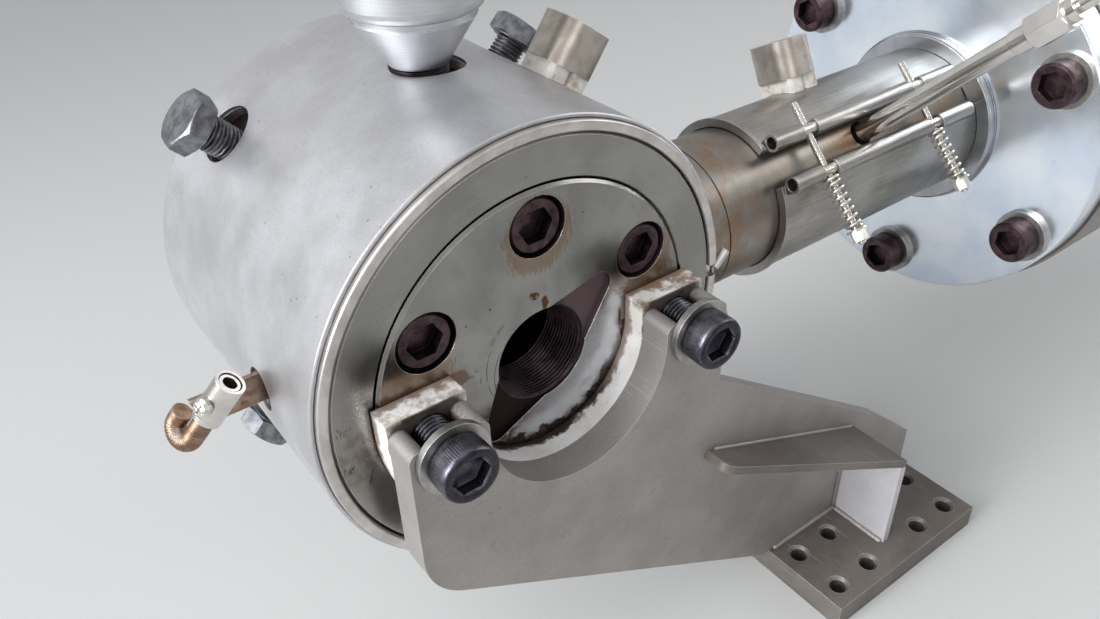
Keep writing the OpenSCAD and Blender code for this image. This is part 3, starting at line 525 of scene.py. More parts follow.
# %% [markdown]
# ### Die ring
# Faces that were turned and ground mirror the room softly. Rings of fine lines
# run round the axis, so the noise is read along the radius only. The outer ring
# is worn and scratched at the left, where rust has also run down in thin lines.


# %% Die ring
def turning(f, a, b, pitch=0.5):
    """Fine rings round an axis: noise read along the radius, the same all the way round."""
    return f.noise(pitch, 2, 0.7, at=f.join(f.radius(a, b), 0.0, 0.0))


def patch(f, centre, half_axes, rag=1.0, size=4.0):
    """1 inside a ragged oval in the plane of the face: sqrt(u^2 + v^2) + noise below 1."""
    x, _, z = f.axes()
    u = f.times(f.minus(x, centre[0]), 1.0 / half_axes[0])
    v = f.times(f.minus(z, centre[1]), 1.0 / half_axes[1])
    return f.span(f.plus(f.radius(u, v), f.wobble(rag, size, 4, 0.7)), 1.05, 0.85)


f = Finish("ground_steel", bevel=0.35)
x, y, z = f.axes()
rings = turning(f, x, z)
tone = f.mix(f.span(f.noise(45, 3), 0.35, 0.65), rgb(152, 150, 146), rgb(134, 132, 129))
tone = f.lay(tone, f.span(rings, 0.45, 0.62), 0.25, rgb(178, 177, 174))
# Light scratches on the left, then dark dots
worn = f.times(patch(f, (-84, 12), (16, 26), 0.6, 7), streaks(f, 0.3, 14, (0.0, 1.1, 0.3), 0.60))
tone = f.lay(tone, worn, 0.8, rgb(232, 232, 230))
tone = f.lay(tone, specks(f, 7.0, (0.08, 0.04), 25, 0.50), 0.7, rgb(52, 48, 46))
# A brown smear, and runs of rust: noise drawn out along Z
smear = f.times(patch(f, (-86, -10), (9, 16), 0.8), f.span(f.noise(6, 4), 0.4, 0.6))
tone = f.lay(tone, smear, 0.45, rgb(112, 92, 78))
drawn = f.noise(1.6, 3, 0.6, at=f.join(f.plus(x, f.wobble(6, 12, 2)), y, f.times(z, 0.1)))
runs = f.times(patch(f, (-87, -8), (8, 20), 0.6), f.span(drawn, 0.6, 0.66))
tone = f.lay(tone, runs, 0.85, rgb(72, 52, 40))
tone = f.lay(tone, f.edge, 0.7, SHINY)
f.bump(rings, 0.03, 0.5)
f.done(tone, f.scale(f.noise(20, 3), 0.20, 0.32))
print(len(f.tree.nodes), "nodes in the ring's finish")

# %% [markdown]
# ### Retaining flange
# The flange has the most stains: brown where the screws' heads weep, baked flakes
# and rust round the bore, a charred crust along the cradle's inner edge, and a
# dark oxide wherever hot plastic stood, inside the bore, the lobes and the
# counterbores. Each stain is a mask from its place on the face, with a noise
# added to the distance so that its outline is ragged.

# %% Retaining flange
f = Finish("flange_steel", bevel=0.3)
x, y, z = f.axes()
reach = f.radius(x, z)
rings = turning(f, x, z)
tone = f.mix(f.span(f.noise(30, 3), 0.35, 0.65), rgb(150, 148, 144), rgb(132, 131, 129))
tone = f.lay(tone, f.span(rings, 0.48, 0.64), 0.22, rgb(176, 175, 172))
# Painted reflection: paler and bluish towards the lower right, with a dull veil over it
side = f.times(f.minus(x, z), 0.71)
painted_reflection = f.span(f.plus(side, f.wobble(12, 12, 5, 0.7)), 6.0, 20.0)
tone = f.mix(f.times(painted_reflection, f.times(f.span(reach, 60.0, 50.0), 0.8)), tone, rgb(204, 207, 213))
tone = f.lay(tone, f.span(f.noise(14, 4, 0.65), 0.48, 0.66), 0.35, rgb(124, 118, 110))
# Brown halos round three screws, hanging a little under them
weeping = f.scale(f.noise(1.0, 4, 0.7, at=f.join(x, y, f.times(z, 0.16))), -9.0, 9.0)
sag = 4.0
halos = []
for angle in map(math.radians, (28, 90, 164)):
    screw_x, screw_z = FLANGE_SCREW_CIRCLE * math.cos(angle), FLANGE_SCREW_CIRCLE * math.sin(angle)
    away = f.radius(f.minus(x, screw_x), f.plus(z, sag - screw_z))
    halos.append(f.span(f.plus(away, weeping), 17.5, 14.5))
tone = f.lay(tone, f.either(*halos), 0.6, rgb(122, 94, 66))
# Torn flakes above and beside the bore, and two patches of rust
torn = f.span(f.noise(1.3, 3, 0.7), 0.34, 0.46)
flakes = f.either(patch(f, (-3, 30), (2.6, 1.8), 0.9, 2), patch(f, (2, 25), (1.6, 3.4), 0.9, 2),
                  patch(f, (41, 1), (0.9, 6), 0.8, 2), patch(f, (43, -7), (1.8, 6), 0.9, 2))
tone = f.mix(f.times(flakes, torn), tone, rgb(96, 66, 46))
rust = f.either(patch(f, (50, 12), (8, 6), 0.9), patch(f, (-47, 7), (13, 5), 0.9))
tone = f.lay(tone, rust, 0.6, rgb(112, 84, 62))
# Charred crust in an arc under the bore, along the cradle's inner edge
arc = f.plus(reach, f.plus(f.wobble(7, 9), f.wobble(4, 1.8, 4, 0.75)))
crust = f.times(f.span(arc, 39.0, 40.6), f.times(f.span(z, -14.0, -26.0), f.span(reach, 50.0, 48.0)))
charred = f.mix(f.span(f.noise(4, 4), 0.45, 0.6), rgb(38, 30, 27), rgb(92, 62, 46))
tone = f.lay(tone, crust, 0.94, charred)
# Purple haze round the right lobe's tip and close to the bore
tip = f.radius(f.minus(x, 26.0), f.minus(z, 19.0))
haze = f.either(f.span(f.plus(tip, f.wobble(3, 4)), 12.5, 7.0),
                f.span(f.plus(reach, f.wobble(3, 4)), 20.5, 16.0))
tone = f.lay(tone, haze, 0.55, rgb(100, 84, 90))
# Soot between the left lobe and the cradle, and three scored arcs through it
soot = f.span(f.radius(f.plus(x, 24.0), f.plus(z, 26.0)), 15.0, 6.0)
soot = f.times(soot, f.span(f.noise(2.5, 4, 0.75), 0.4, 0.56))
tone = f.mix(soot, tone, rgb(52, 42, 40))
scored = []
for arc_r, lean in ((24.0, 0.1), (27.5, -0.06), (30.5, 0.04)):
    away = f.calc("ABSOLUTE", f.plus(reach, f.calc("MULTIPLY_ADD", z, lean, -arc_r)))
    scored.append(f.span(away, 0.4, 0.1))
arcs = f.times(f.either(*scored), f.times(f.span(x, -16.0, -21.0), f.span(f.noise(9, 2), 0.42, 0.52)))
tone = f.lay(tone, arcs, 0.7, rgb(72, 68, 66))
tone = f.lay(tone, specks(f, 9.0, (0.07, 0.04), 25, 0.46), 0.8, rgb(44, 40, 38))
# Painted shade in the counterbores, gaps and corners
tone = f.lay(tone, f.crevice_shade(5.0, 0.25, 0.6), 0.7, rgb(60, 46, 40))
tone = f.lay(tone, f.edge, 0.8, rgb(236, 222, 208))
# Behind the face, inside the flange's rim, everything is dark with oxide
inside = f.times(f.span(y, -0.75, -0.25), f.span(reach, FLANGE_R - 0.4, FLANGE_R - 1.2))
burnt = f.mix(f.span(f.plus(x, f.wobble(12, 6, 4)), -8.0, 22.0), rgb(46, 36, 36), rgb(104, 88, 92))
tone = f.mix(inside, tone, burnt)
f.bump(rings, 0.03, 0.5)
f.bump(f.noise(0.9, 3), 0.03, 0.25)
matt = f.times(f.either(inside, rust, flakes, crust, soot), 0.25)
f.done(tone, f.plus(f.scale(f.noise(18, 3), 0.18, 0.3), matt))
print(len(f.tree.nodes), "nodes in the flange's finish")

# %% [markdown]
# ### Screws
# The cradle's screws are blackened with a blue grey sheen, light on their knurl
# and darkest on their end faces. The flange's screws were heated for years, so
# their oxide has gone purple brown, with paler dust on the head's face. All the
# screws' sockets are darkened by painted shade. The inside of the head has the
# same oxide, darker still.


# %% Screws
def dark_steel(name, pale, deep, worn, rough, dust=0.3, end_y=None):
    """Oxidised steel with painted shade in its sockets, and darker, where end_y is given, in front of
    end_y.
    """
    f = Finish(name, bevel=0.4)
    tone = f.mix(f.span(f.noise(5, 4, 0.6), 0.35, 0.68), pale, deep)
    tone = f.lay(tone, f.span(f.noise(0.8, 3, 0.7), 0.52, 0.7), dust, worn)
    tone = f.lay(tone, f.edge, 0.5, worn)
    # Painted shade in sockets, thread roots and other hollows
    tone = f.lay(tone, f.crevice_shade(7.0, 0.3, 0.6), 0.8, rgb(24, 20, 22))
    if end_y is not None:
        tone = f.lay(tone, f.span(f.axes()[1], end_y, end_y - 0.6), 0.75, rgb(44, 40, 43))
    f.bump(f.noise(0.7, 3, 0.6), 0.04, 0.5)
    f.done(tone, f.scale(f.noise(3, 3), rough - 0.06, rough + 0.10))


dark_steel("black_screws", rgb(104, 103, 112), rgb(64, 63, 71), rgb(158, 158, 166), 0.34,
           end_y=CRADLE_SCREW_SEAT - CRADLE_SCREW_HEAD + 0.8)
dark_steel("bolt_steel", rgb(142, 143, 148), rgb(100, 100, 105), rgb(176, 176, 180), 0.40)
dark_steel("oxide_screws", rgb(90, 73, 76), rgb(56, 44, 47), rgb(122, 104, 104), 0.42)
dark_steel("burnt_steel", rgb(74, 62, 65), rgb(38, 31, 33), rgb(112, 98, 98), 0.40, dust=0.22)
print(len(finishes), "finishes so far")

# %% [markdown]
# ### Plated and turned parts
# Zinc, nickel and turned steel differ mostly in how sharply they mirror. Each has
# a faint cloud in its colour, a fine bump and brighter edges. Some were touched
# by heat or rust, which is a second tint in wider clouds.


# %% Plated and turned parts
def plated(name, pale, deep, rough, size=8.0, lines=None, relief=0.02, tint=None, tint_at=(0.55, 0.7)):
    """Satin metal; lines is an axis (0, 1, 2) along which tool marks step, or None."""
    f = Finish(name, bevel=0.35)
    tone = f.mix(f.span(f.noise(size, 4, 0.6), 0.32, 0.68), pale, deep)
    if tint is not None:
        tone = f.lay(tone, f.span(f.noise(size * 1.7, 4, 0.7), *tint_at), 0.8, tint)
    if lines is not None:
        steps = [0.0, 0.0, 0.0]
        steps[lines] = f.axes()[lines]
        marks = f.noise(0.6, 2, 0.7, at=f.join(*steps))
        tone = f.lay(tone, f.span(marks, 0.45, 0.65), 0.25, rgb(235, 235, 235))
        f.bump(marks, 0.03, 0.6)
    tone = f.lay(tone, f.edge, 0.6, SHINY)
    f.bump(f.noise(0.6, 2), relief, 0.5)
    f.done(tone, f.scale(f.noise(size, 3), rough - 0.05, rough + 0.08))


plated("washers", rgb(180, 178, 174), rgb(150, 148, 144), 0.36, 5, relief=0.03)
plated("heater_edge", rgb(214, 209, 205), rgb(190, 185, 181), 0.32, 10)
plated("turned_steel", rgb(196, 197, 201), rgb(186, 187, 191), 0.44, 12, lines=2, relief=0.08)
plated("nickel", rgb(220, 216, 210), rgb(200, 195, 187), 0.24, 14, relief=0.01, tint=rgb(186, 172, 154))
plated("polished", rgb(234, 231, 226), rgb(220, 216, 210), 0.17, 20, relief=0.004)
plated("spring_wire", rgb(222, 219, 210), rgb(194, 189, 176), 0.28, 4)
plated("barrel_steel", rgb(144, 140, 136), rgb(136, 131, 126), 0.44, 30, lines=0)
plated("rusty_strap", rgb(172, 150, 134), rgb(134, 106, 92), 0.45, 4, relief=0.08, tint=rgb(92, 66, 54))
plated("copper_sheath", rgb(152, 124, 102), rgb(112, 88, 72), 0.40, 5, relief=0.05)
plated("cap_sheet", rgb(190, 182, 173), rgb(166, 156, 146), 0.38, 11, tint=rgb(130, 106, 88),
       tint_at=(0.6, 0.8))
print(len(finishes), "finishes so far")

# %% [markdown]
# ### Adapter
# The adapter is turned, and the heat has tinted it straw to brown near the head
# and under the band's gap. Crossing scratches catch the light. Its finish reads
# distances from the adapter's own axis, so its origin is moved there.

# %% Adapter
on_adapter = (0, ADAPTER_Y, 0)
f = Finish("adapter_steel", bevel=0.3, origin=on_adapter)
x = f.axes()[0]
marks = f.noise(0.5, 2, 0.7, at=f.join(x, 0.0, 0.0))
tone = f.mix(f.span(f.noise(30, 3), 0.35, 0.65), rgb(146, 142, 136), rgb(124, 120, 114))
heat = f.times(f.span(f.noise(15, 5, 0.7), 0.38, 0.6), f.span(x, 160.0, 115.0))
tone = f.lay(tone, heat, 0.8, rgb(144, 112, 82))
gold = f.times(f.span(f.noise(22, 3, 0.6), 0.38, 0.62), f.span(x, 140.0, 165.0))
tone = f.lay(tone, gold, 0.75, rgb(142, 112, 82))
tone = f.lay(tone, f.span(marks, 0.45, 0.65), 0.2, rgb(228, 226, 220))
scratches = f.either(streaks(f, 0.22, 20, (0.0, 0.0, 0.5)), streaks(f, 0.2, 14, (0.4, 0.9, -0.4)))
tone = f.lay(tone, scratches, 0.6, rgb(236, 226, 206))
f.bump(marks, 0.03, 0.5)
f.done(tone, f.scale(f.noise(10, 3), 0.28, 0.40))

# %% [markdown]
# ### Heater band
# The band is brushed along the tube: the noise is squeezed along X, so its grains
# become long lines. It is a little straw coloured near the head, with dark dots.

# %% Heater band
f = Finish("band_sheet", bevel=0.4, origin=on_adapter)
x, y, z = f.axes()
brush = f.noise(0.7, 3, 0.7, at=f.join(f.times(x, 0.03), y, z))
tone = f.mix(f.span(f.noise(35, 4, 0.6), 0.35, 0.65), rgb(168, 165, 161), rgb(146, 143, 138))
tone = f.lay(tone, f.span(brush, 0.4, 0.66), 0.22, rgb(214, 212, 208))
warm = f.times(f.span(f.noise(26, 4, 0.6), 0.5, 0.7), f.span(x, 230.0, 160.0))
tone = f.lay(tone, warm, 0.5, rgb(160, 132, 104))
tone = f.lay(tone, specks(f, 6.0, (0.11, 0.06), 16, 0.54), 0.8, rgb(56, 48, 44))
tone = f.lay(tone, f.edge, 0.7, rgb(238, 237, 234))
f.bump(brush, 0.02, 0.4)
f.done(tone, f.scale(f.noise(14, 3), 0.30, 0.42))

# %% [markdown]
# ### Adapter flange
# Its face is the brightest thing in the picture, fine ground and almost white,
# round a greyer boss. A wide, shallow bump bends the reflections a little, as on
# a real face that was ground by hand.

# %% Adapter flange
f = Finish("flange_face", bevel=0.4, metallic=0.92, origin=on_adapter)
_, y, z = f.axes()
rings = turning(f, y, z, 0.6)
tone = f.mix(f.span(f.noise(40, 4, 0.65), 0.35, 0.68), rgb(240, 246, 252), rgb(216, 228, 244))
tone = f.lay(tone, f.span(rings, 0.46, 0.64), 0.25, rgb(250, 252, 255))
boss = f.span(f.radius(y, z), ADAPTER_BOSS_R + 0.2, ADAPTER_BOSS_R - 0.4)
grey = f.mix(f.span(f.noise(25, 3), 0.4, 0.6), rgb(176, 179, 184), rgb(158, 160, 165))
tone = f.mix(boss, tone, grey)
tone = f.lay(tone, f.span(f.noise(8, 5, 0.7), 0.64, 0.76), 0.3, rgb(150, 152, 154))
tone = f.lay(tone, f.edge, 0.6, rgb(250, 250, 250))
f.bump(f.noise(55, 2), 0.6, 0.5)
f.bump(rings, 0.02, 0.5)
f.done(tone, f.scale(f.noise(16, 3), 0.16, 0.26))

# %% [markdown]
# ### Ceramic
# The terminal blocks are unglazed ceramic: white, a little chalky, with brown
# stains soaked into it from below.

# %% Ceramic
f = Finish("ceramic", bevel=0.5, metallic=0.0)
tone = f.mix(f.span(f.noise(3, 3), 0.3, 0.7), rgb(238, 236, 230), rgb(222, 217, 206))
tone = f.lay(tone, f.span(f.noise(7, 5, 0.65), 0.48, 0.72), 0.7, rgb(172, 128, 88))
tone = f.lay(tone, f.span(f.noise(1.0, 3, 0.7), 0.60, 0.72), 0.4, rgb(150, 118, 90))
f.bump(f.noise(0.5, 3, 0.6), 0.05, 0.6)
f.done(tone, f.scale(f.noise(4, 3), 0.50, 0.68))
print(len(finishes), "finishes in all")

# %% [markdown]
# ### Which node wears what
# The slots have the same names as in the part's record, so that a scene can
# repaint one of them. A few nodes share a slot but not its look: the foot and the
# shelf are a darker copy of the web's steel, a painted shade, the gusset is a
# paler copy, a painted light, and the pressure probe is polished.

# %% Paint the nodes
slots = {
    "bracket_steel": ("bracket_base", "bracket_web", "bracket_shelf", "bracket_gusset"),
    "cradle_steel": ("cradle_ring",),
    "black_screws": ("cradle_screws", "adjusting_bolts"),
    "washers": ("cradle_washers", "adapter_washers"),
    "ground_steel": ("die_ring", "back_plate"),
    "burnt_steel": ("head_body", "core_tip", "stripe_neck"),
    "flange_steel": ("retaining_flange",),
    "oxide_screws": ("flange_screws", "back_screws", "adapter_screws"),
    "heater_edge": ("heater_ring", "jacket_rim"),
    "jacket_sheet": ("jacket_sheet",),
    "turned_steel": ("wire_guide", "stripe_nozzle", "stripe_flange", "barrel_seal"),
    "rusty_strap": ("probe_strap",),
    "nickel": ("probe_socket", "probe_ferrule", "probe_screw", "clamp_pins", "pressure_stem",
               "pressure_nut", "pressure_rod"),
    "copper_sheath": ("probe_lead",),
    "ceramic": ("head_terminal_base", "adapter_terminal_base"),
    "cap_sheet": ("head_terminal_cap", "adapter_terminal_cap"),
    "adapter_steel": ("adapter_tube",),
    "flange_face": ("adapter_flange",),
    "band_sheet": ("adapter_heater",),
    "spring_wire": ("clamp_screws", "clamp_springs", "clamp_nuts"),
    "barrel_steel": ("barrel_flange",),
}
look_of = {
    "bracket_base": "shaded_bracket_steel", "bracket_shelf": "shaded_bracket_steel", "bracket_gusset": "lit_bracket_steel",
    "pressure_stem": "polished", "pressure_nut": "polished", "pressure_rod": "polished",
}
for slot, members in slots.items():
    for node in members:
        paint(node, finishes[look_of.get(node, slot)])
print(sum(map(len, slots.values())), "nodes painted")

# %% [markdown]
# ## Fine forms
# The solids stop at plain rounds. What the photograph shows on top of them, such
# as threads, knurls, coils and weld beads, is worked out here as surfaces: a grid
# of points from a formula, with rows along the piece and columns round it.


# %% Tools for surfaces
def place(points, origin, x, y, z):
    """Local points to the head's frame: origin + px x + py y + pz z."""
    points = np.asarray(points, float)
    axes = np.array((x, y, z), float)
    return np.asarray(origin, float) + points @ axes


def head_axes(angle):
    """Axes of a piece that stands out from the head's axis, angle from +X to +Z."""
    c, s = math.cos(angle), math.sin(angle)
    return (s, 0, -c), (0, 1, 0), (c, 0, s)


def adapter_axes(angle):
    """Axes of a piece that stands out from the adapter's axis, angle from the front up."""
    c, s = math.cos(angle), math.sin(angle)
    return (1, 0, 0), (0, s, c), (0, -c, s)


def front_axes():
    """Axes of a piece whose Z points out of the head's face."""
    return (1, 0, 0), (0, 0, 1), (0, -1, 0)


def ring_faces(rows, cols, close=False):
    """Quads of a grid that wraps round its columns: point i, j is number i cols + j."""
    i = np.arange(rows if close else rows - 1)
    j = np.arange(cols)
    i, j = np.meshgrid(i, j, indexing="ij")
    up, on = (i + 1) % rows, (j + 1) % cols
    return np.stack((i * cols + j, i * cols + on, up * cols + on, up * cols + j), -1).reshape(-1, 4)


def capped(grid):
    """A closed tube: the grid's quads with one middle point and a fan at each end."""
    rows, cols = grid.shape[:2]
    points = np.concatenate((grid.reshape(-1, 3), grid[:1].mean(1), grid[-1:].mean(1)))
    j = np.arange(cols)
    on = (j + 1) % cols
    first = np.stack((on, j, np.full(cols, rows * cols)), -1)
    base = (rows - 1) * cols
    last = np.stack((base + j, base + on, np.full(cols, rows * cols + 1)), -1)
    return points, ring_faces(rows, cols), np.concatenate((first, last))


def looped(grid):
    """A closed ring: the grid's quads, wrapped both ways."""
    rows, cols = grid.shape[:2]
    return grid.reshape(-1, 3), ring_faces(rows, cols, True), np.zeros((0, 3), int)


def piece(name, parts, slot, stands_for=(), flip=False, sharp=38, look=None):
    """One object from (points, quads, triangles) parts, smooth but for its sharp edges."""
    start, points, loops, sizes = 0, [], [], []
    for p, quads, tris in parts:
        if flip:
            quads, tris = quads[:, ::-1], tris[:, ::-1]
        points.append(p)
        loops += [(quads + start).ravel(), (tris + start).ravel()]
        sizes += [np.full(len(quads), 4), np.full(len(tris), 3)]
        start += len(p)
    points = to_row(np.concatenate(points))
    loops, sizes = np.concatenate(loops), np.concatenate(sizes)
    mesh = bpy.data.meshes.new(name)
    mesh.vertices.add(len(points))
    mesh.vertices.foreach_set("co", points.ravel())
    mesh.loops.add(len(loops))
    mesh.loops.foreach_set("vertex_index", loops.astype(np.int32))
    mesh.polygons.add(len(sizes))
    mesh.polygons.foreach_set("loop_start", (np.cumsum(sizes) - sizes).astype(np.int32))
    mesh.update(calc_edges=True)
    mesh.validate()
    mesh.polygons.foreach_set("use_smooth", np.ones(len(sizes), bool))
    mesh.set_sharp_from_angle(angle=math.radians(sharp))
    obj = bpy.data.objects.new(name, mesh)
    bpy.context.scene.collection.objects.link(obj)
    mesh.materials.append(finishes[look or slot])
    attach(obj, "root")
    if stands_for:
        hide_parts(*stands_for)


def thread_radius(along, turn, r, depth, pitch):
    """A rounded vee thread: r - depth (0.5 - 0.5 w), w the wave at along / pitch - turn."""
    wave = np.cos(2 * np.pi * (along / pitch - turn))
    wave = np.sign(wave) * np.abs(wave) ** 0.7
    return r - depth * (0.5 - 0.5 * wave)


def hexagon(turn, af):
    """Distance from the middle to a hexagon's side, turn in whole turns."""
    sixth = (turn * 6.0) % 1.0 - 0.5
    return af / 2 / np.cos(sixth * np.pi / 3)


def rod(z, radius, cols):
    """Grid of a straight round or fluted bar: radius has one value for each row and column."""
    turn = np.arange(cols) / cols
    radius = np.broadcast_to(radius, (len(z), cols))
    angle = 2 * np.pi * turn
    return np.stack((radius * np.cos(angle), radius * np.sin(angle),
                     np.broadcast_to(np.asarray(z)[:, None], radius.shape)), -1)


print("surface tools ready")

# %% [markdown]
# ### Cradle screws
# The two socket screws that hold the head in its cradle have fine straight
# knurling round their heads and a coarse thread that shows in the open slots.
# One grid does it all: it starts in the middle of the socket, climbs the
# hexagon's wall, crosses the end face, comes down over the knurl and runs on
# along the shank, where the radius follows the thread.


# %% Cradle screws
def stacked(rows, cols):
    """Grid of a bar from (z, radius) rows; a radius is one number or one for each column."""
    z = np.array([row[0] for row in rows])
    return rod(z, np.array([np.broadcast_to(row[1], cols) for row in rows]), cols)


def knurled_screw(cols=216, ridges=72, socket=14.0, top=CRADLE_SCREW_HEAD):
    """Rows of a socket screw, z = 0 at its seat: the knurl is r = 12 - 0.24 times a triangle wave."""
    turn = np.arange(cols) / cols
    ridge = np.abs((turn * ridges) % 1.0 - 0.5) * 2
    hexa = hexagon(turn, socket)
    rows = [(5.2, hexa * 0.55), (5.6, hexa * 0.93), (5.9, hexa), (top - 0.9, hexa)]
    rows += [(top - 0.2, np.maximum(hexa * 1.04, 8.35)), (top, 8.8), (top, 10.7)]
    rows += [(top - 0.25, 11.25), (top - 1.2, 11.75)]
    rows += [(z, 12.0 - 0.24 * ridge) for z in (10.0, 8.0, 6.0, 4.0, 2.4)]
    rows += [(2.0, 11.8), (0.9, 11.85), (0.0, 11.4), (0.0, SHANK_R + 0.3)]
    rows += [(z, thread_radius(z, turn, SHANK_R, 1.15, 2.0)) for z in np.arange(-0.3, -29.0, -0.34)]
    rows.append((-29.6, 6.6))
    return stacked(rows, cols)


screws = []
for side in (-1, 1):
    points, quads, tris = capped(knurled_screw())
    seat = (side * CRADLE_SCREW_X, CRADLE_SCREW_SEAT, 0)
    screws.append((place(points, seat, *front_axes()), quads, tris))
piece("screws_knurled", screws, "black_screws", ("cradle_screws",), flip=True)
print("cradle screws:", sum(len(s[0]) for s in screws), "points")

# %% [markdown]
# ### Adjusting bolts
# Four hexagon bolts push on the die from outside. Their corners are turned down
# at both ends, a low collar shows under the head, and the thread runs into the
# jacket's holes. The hexagon and the two cones meet as a plain minimum of radii.


# %% Adjusting bolts
def hexagon_bolt(cols=120, af=24.0, top=10.0):
    """Rows of a hexagon bolt, z = 0 at the seat: the radius is the least of hexagon and cones."""
    turn = np.arange(cols) / cols
    hexa = hexagon(turn, af)
    rows = [(top, 3.0), (top, 9.5), (top, 11.3)]
    heights = (np.linspace(9.9, 8.6, 8), np.linspace(7.4, 1.6, 4), np.linspace(1.2, 0.5, 4))
    for z in np.concatenate(heights):
        cone = 11.5 + min((top - z) * 1.75, (z - 0.4) * 3.0 + 0.2)
        rows.append((z, np.minimum(hexa, cone)))
    rows += [(0.45, 11.2), (0.0, 11.0), (0.0, SHANK_R + 0.4)]
    rows += [(z, thread_radius(z, turn, SHANK_R, 1.2, 2.0)) for z in np.arange(-0.3, -51.0, -0.36)]
    rows.append((-51.4, 6.4))
    return stacked(rows, cols)


bolts = []
spin = math.radians(20)
for degrees in (45, 135, 225, 315):
    points, quads, tris = capped(hexagon_bolt())
    x, y, z = map(np.array, head_axes(math.radians(degrees)))
    turned_x = x * math.cos(spin) + y * math.sin(spin)
    turned_y = y * math.cos(spin) - x * math.sin(spin)
    seat = ADJUST_SEAT * z + (0, ADJUST_Y, 0)
    bolts.append((place(points, seat, turned_x, turned_y, z), quads, tris))
piece("bolts_threaded", bolts, "black_screws", ("adjusting_bolts",), flip=True, look="bolt_steel")
print("adjusting bolts:", sum(len(b[0]) for b in bolts), "points")

# %% [markdown]
# ### Thread in the bore
# The die screws into the flange, so the bore is threaded. The sleeve lies on the
# bore's wall: its inner side is the thread and its outer side sits in the wall,
# closed at both ends so that it is one ring.

# %% Thread in the bore
cols = 160
turn = np.arange(cols) / cols
along = np.arange(0.6, 25.2, 0.3)
crest, wall = BORE_R - 0.07, BORE_R - 0.03
inner = crest - (BORE_R - thread_radius(along[:, None], turn, BORE_R, 1.15, 1.8))
inner[:3] = np.linspace(crest, inner[3].mean(), 4)[:3, None]
outer = np.full((2, cols), wall)
grid = rod(np.concatenate((along, along[[-1, 0]])), np.concatenate((inner, outer)), cols)
points, quads, tris = looped(grid)
bore = (place(points, (0, 0, 0), (1, 0, 0), (0, 0, -1), (0, 1, 0)), quads, tris)
piece("bore_thread", [bore], "burnt_steel", flip=True)
print("bore thread:", len(points), "points")

# %% [markdown]
# ### Stripe nozzle's neck
# The neck is a fine thread that stands up out of the head, dark with oxide. It is
# the same bar as the screws' shanks, with a smaller pitch.

# %% Neck
cols = 96
turn = np.arange(cols) / cols
neck_r, neck_low, neck_high = 12.0, 66.4, 102.2
along = np.arange(neck_low, neck_high, 0.3)
radius = thread_radius(along[:, None], turn, neck_r, 0.75, 1.5)
points, quads, tris = capped(rod(along, radius, cols))
neck = (place(points, (0, NOZZLE_Y, 0), *head_axes(math.pi / 2)), quads, tris)
piece("neck_thread", [neck], "burnt_steel", ("stripe_neck",))
print("neck:", len(points), "points")

# %% [markdown]
# ### Clamp of the heater band
# Two long screws with a fine thread pull the band's rolled ends together through
# coil springs, so that the band can grow when it is hot. A coil is a circle swept
# along a helix; its last turn at each end lies flat, as a ground spring's does.


# %% Clamp
def coil(length, turns, radius, wire, steps=36, sides=12):
    """Helix with flat end turns: z rises evenly between the dead turns at its ends."""
    t = np.linspace(0, turns, int(turns * steps) + 1)
    dead = 0.9
    pitch = 2.1 * wire
    rise = np.clip((t - dead) / (turns - 2 * dead), 0, 1)
    lie = np.minimum(t, dead) + np.maximum(t - (turns - dead), 0)
    z = wire + lie * pitch + rise * (length - 2 * wire - 2 * dead * pitch)
    a = 2 * np.pi * t
    out = np.stack((np.cos(a), np.sin(a), np.zeros_like(a)), -1)
    centre = np.stack((radius * np.cos(a), radius * np.sin(a), z), -1)
    ring = 2 * np.pi * np.arange(sides) / sides
    up = np.array((0, 0, 1.0))
    section = np.cos(ring)[None, :, None] * out[:, None] + np.sin(ring)[None, :, None] * up
    return centre[:, None] + wire * section


gap_x, gap_y, gap_z = (np.array(v, float) for v in adapter_axes(GAP_ANGLE))
axis_point = np.array((0, ADAPTER_Y, 0))
pins_r, spring_start, spring_length = 45.12, -43.55, 29.0
rod_r, rod_low, rod_high, rod_cols = 2.0, -51.4, 26.2, 16
turn = np.arange(rod_cols) / rod_cols
springs, rods = [], []
for clamp_x in CLAMPS_X:
    foot = axis_point + clamp_x * gap_x + pins_r * gap_z
    points, quads, tris = capped(coil(spring_length, 8.2, 3.4, 0.88))
    springs.append((place(points, foot + spring_start * gap_y, gap_z, gap_x, gap_y), quads, tris))
    along = np.arange(rod_low, rod_high, 0.14)
    radius = thread_radius(along[:, None], turn, rod_r, 0.32, 0.7)
    radius[:2] *= 0.8
    radius[-2:] *= 0.8
    points, quads, tris = capped(rod(along, radius, rod_cols))
    rods.append((place(points, foot, gap_z, gap_x, gap_y), quads, tris))
piece("springs_coiled", springs, "spring_wire", ("clamp_springs",), flip=True)
piece("clamp_rods", rods, "nickel", ("clamp_screws",))
print("springs and rods:", sum(len(s[0]) for s in springs + rods), "points")

# %% [markdown]
# ### Lead of the temperature probe
# The lead leaves the socket in a tight bend. It is a close coil of wire, so its
# radius ripples along the path: straight, half a circle, straight again.


# %% Probe lead
def probe_axes():
    """The socket's frame: local Z leans up, sideways and to the front."""
    lean, turn = math.radians(37.8), math.radians(-32.2)
    x = np.array((math.cos(lean) * math.cos(turn), math.cos(lean) * math.sin(turn), -math.sin(lean)))
    y = np.array((-math.sin(turn), math.cos(turn), 0.0))
    z = np.array((math.sin(lean) * math.cos(turn), math.sin(lean) * math.sin(turn), math.cos(lean)))
    return x, y, z


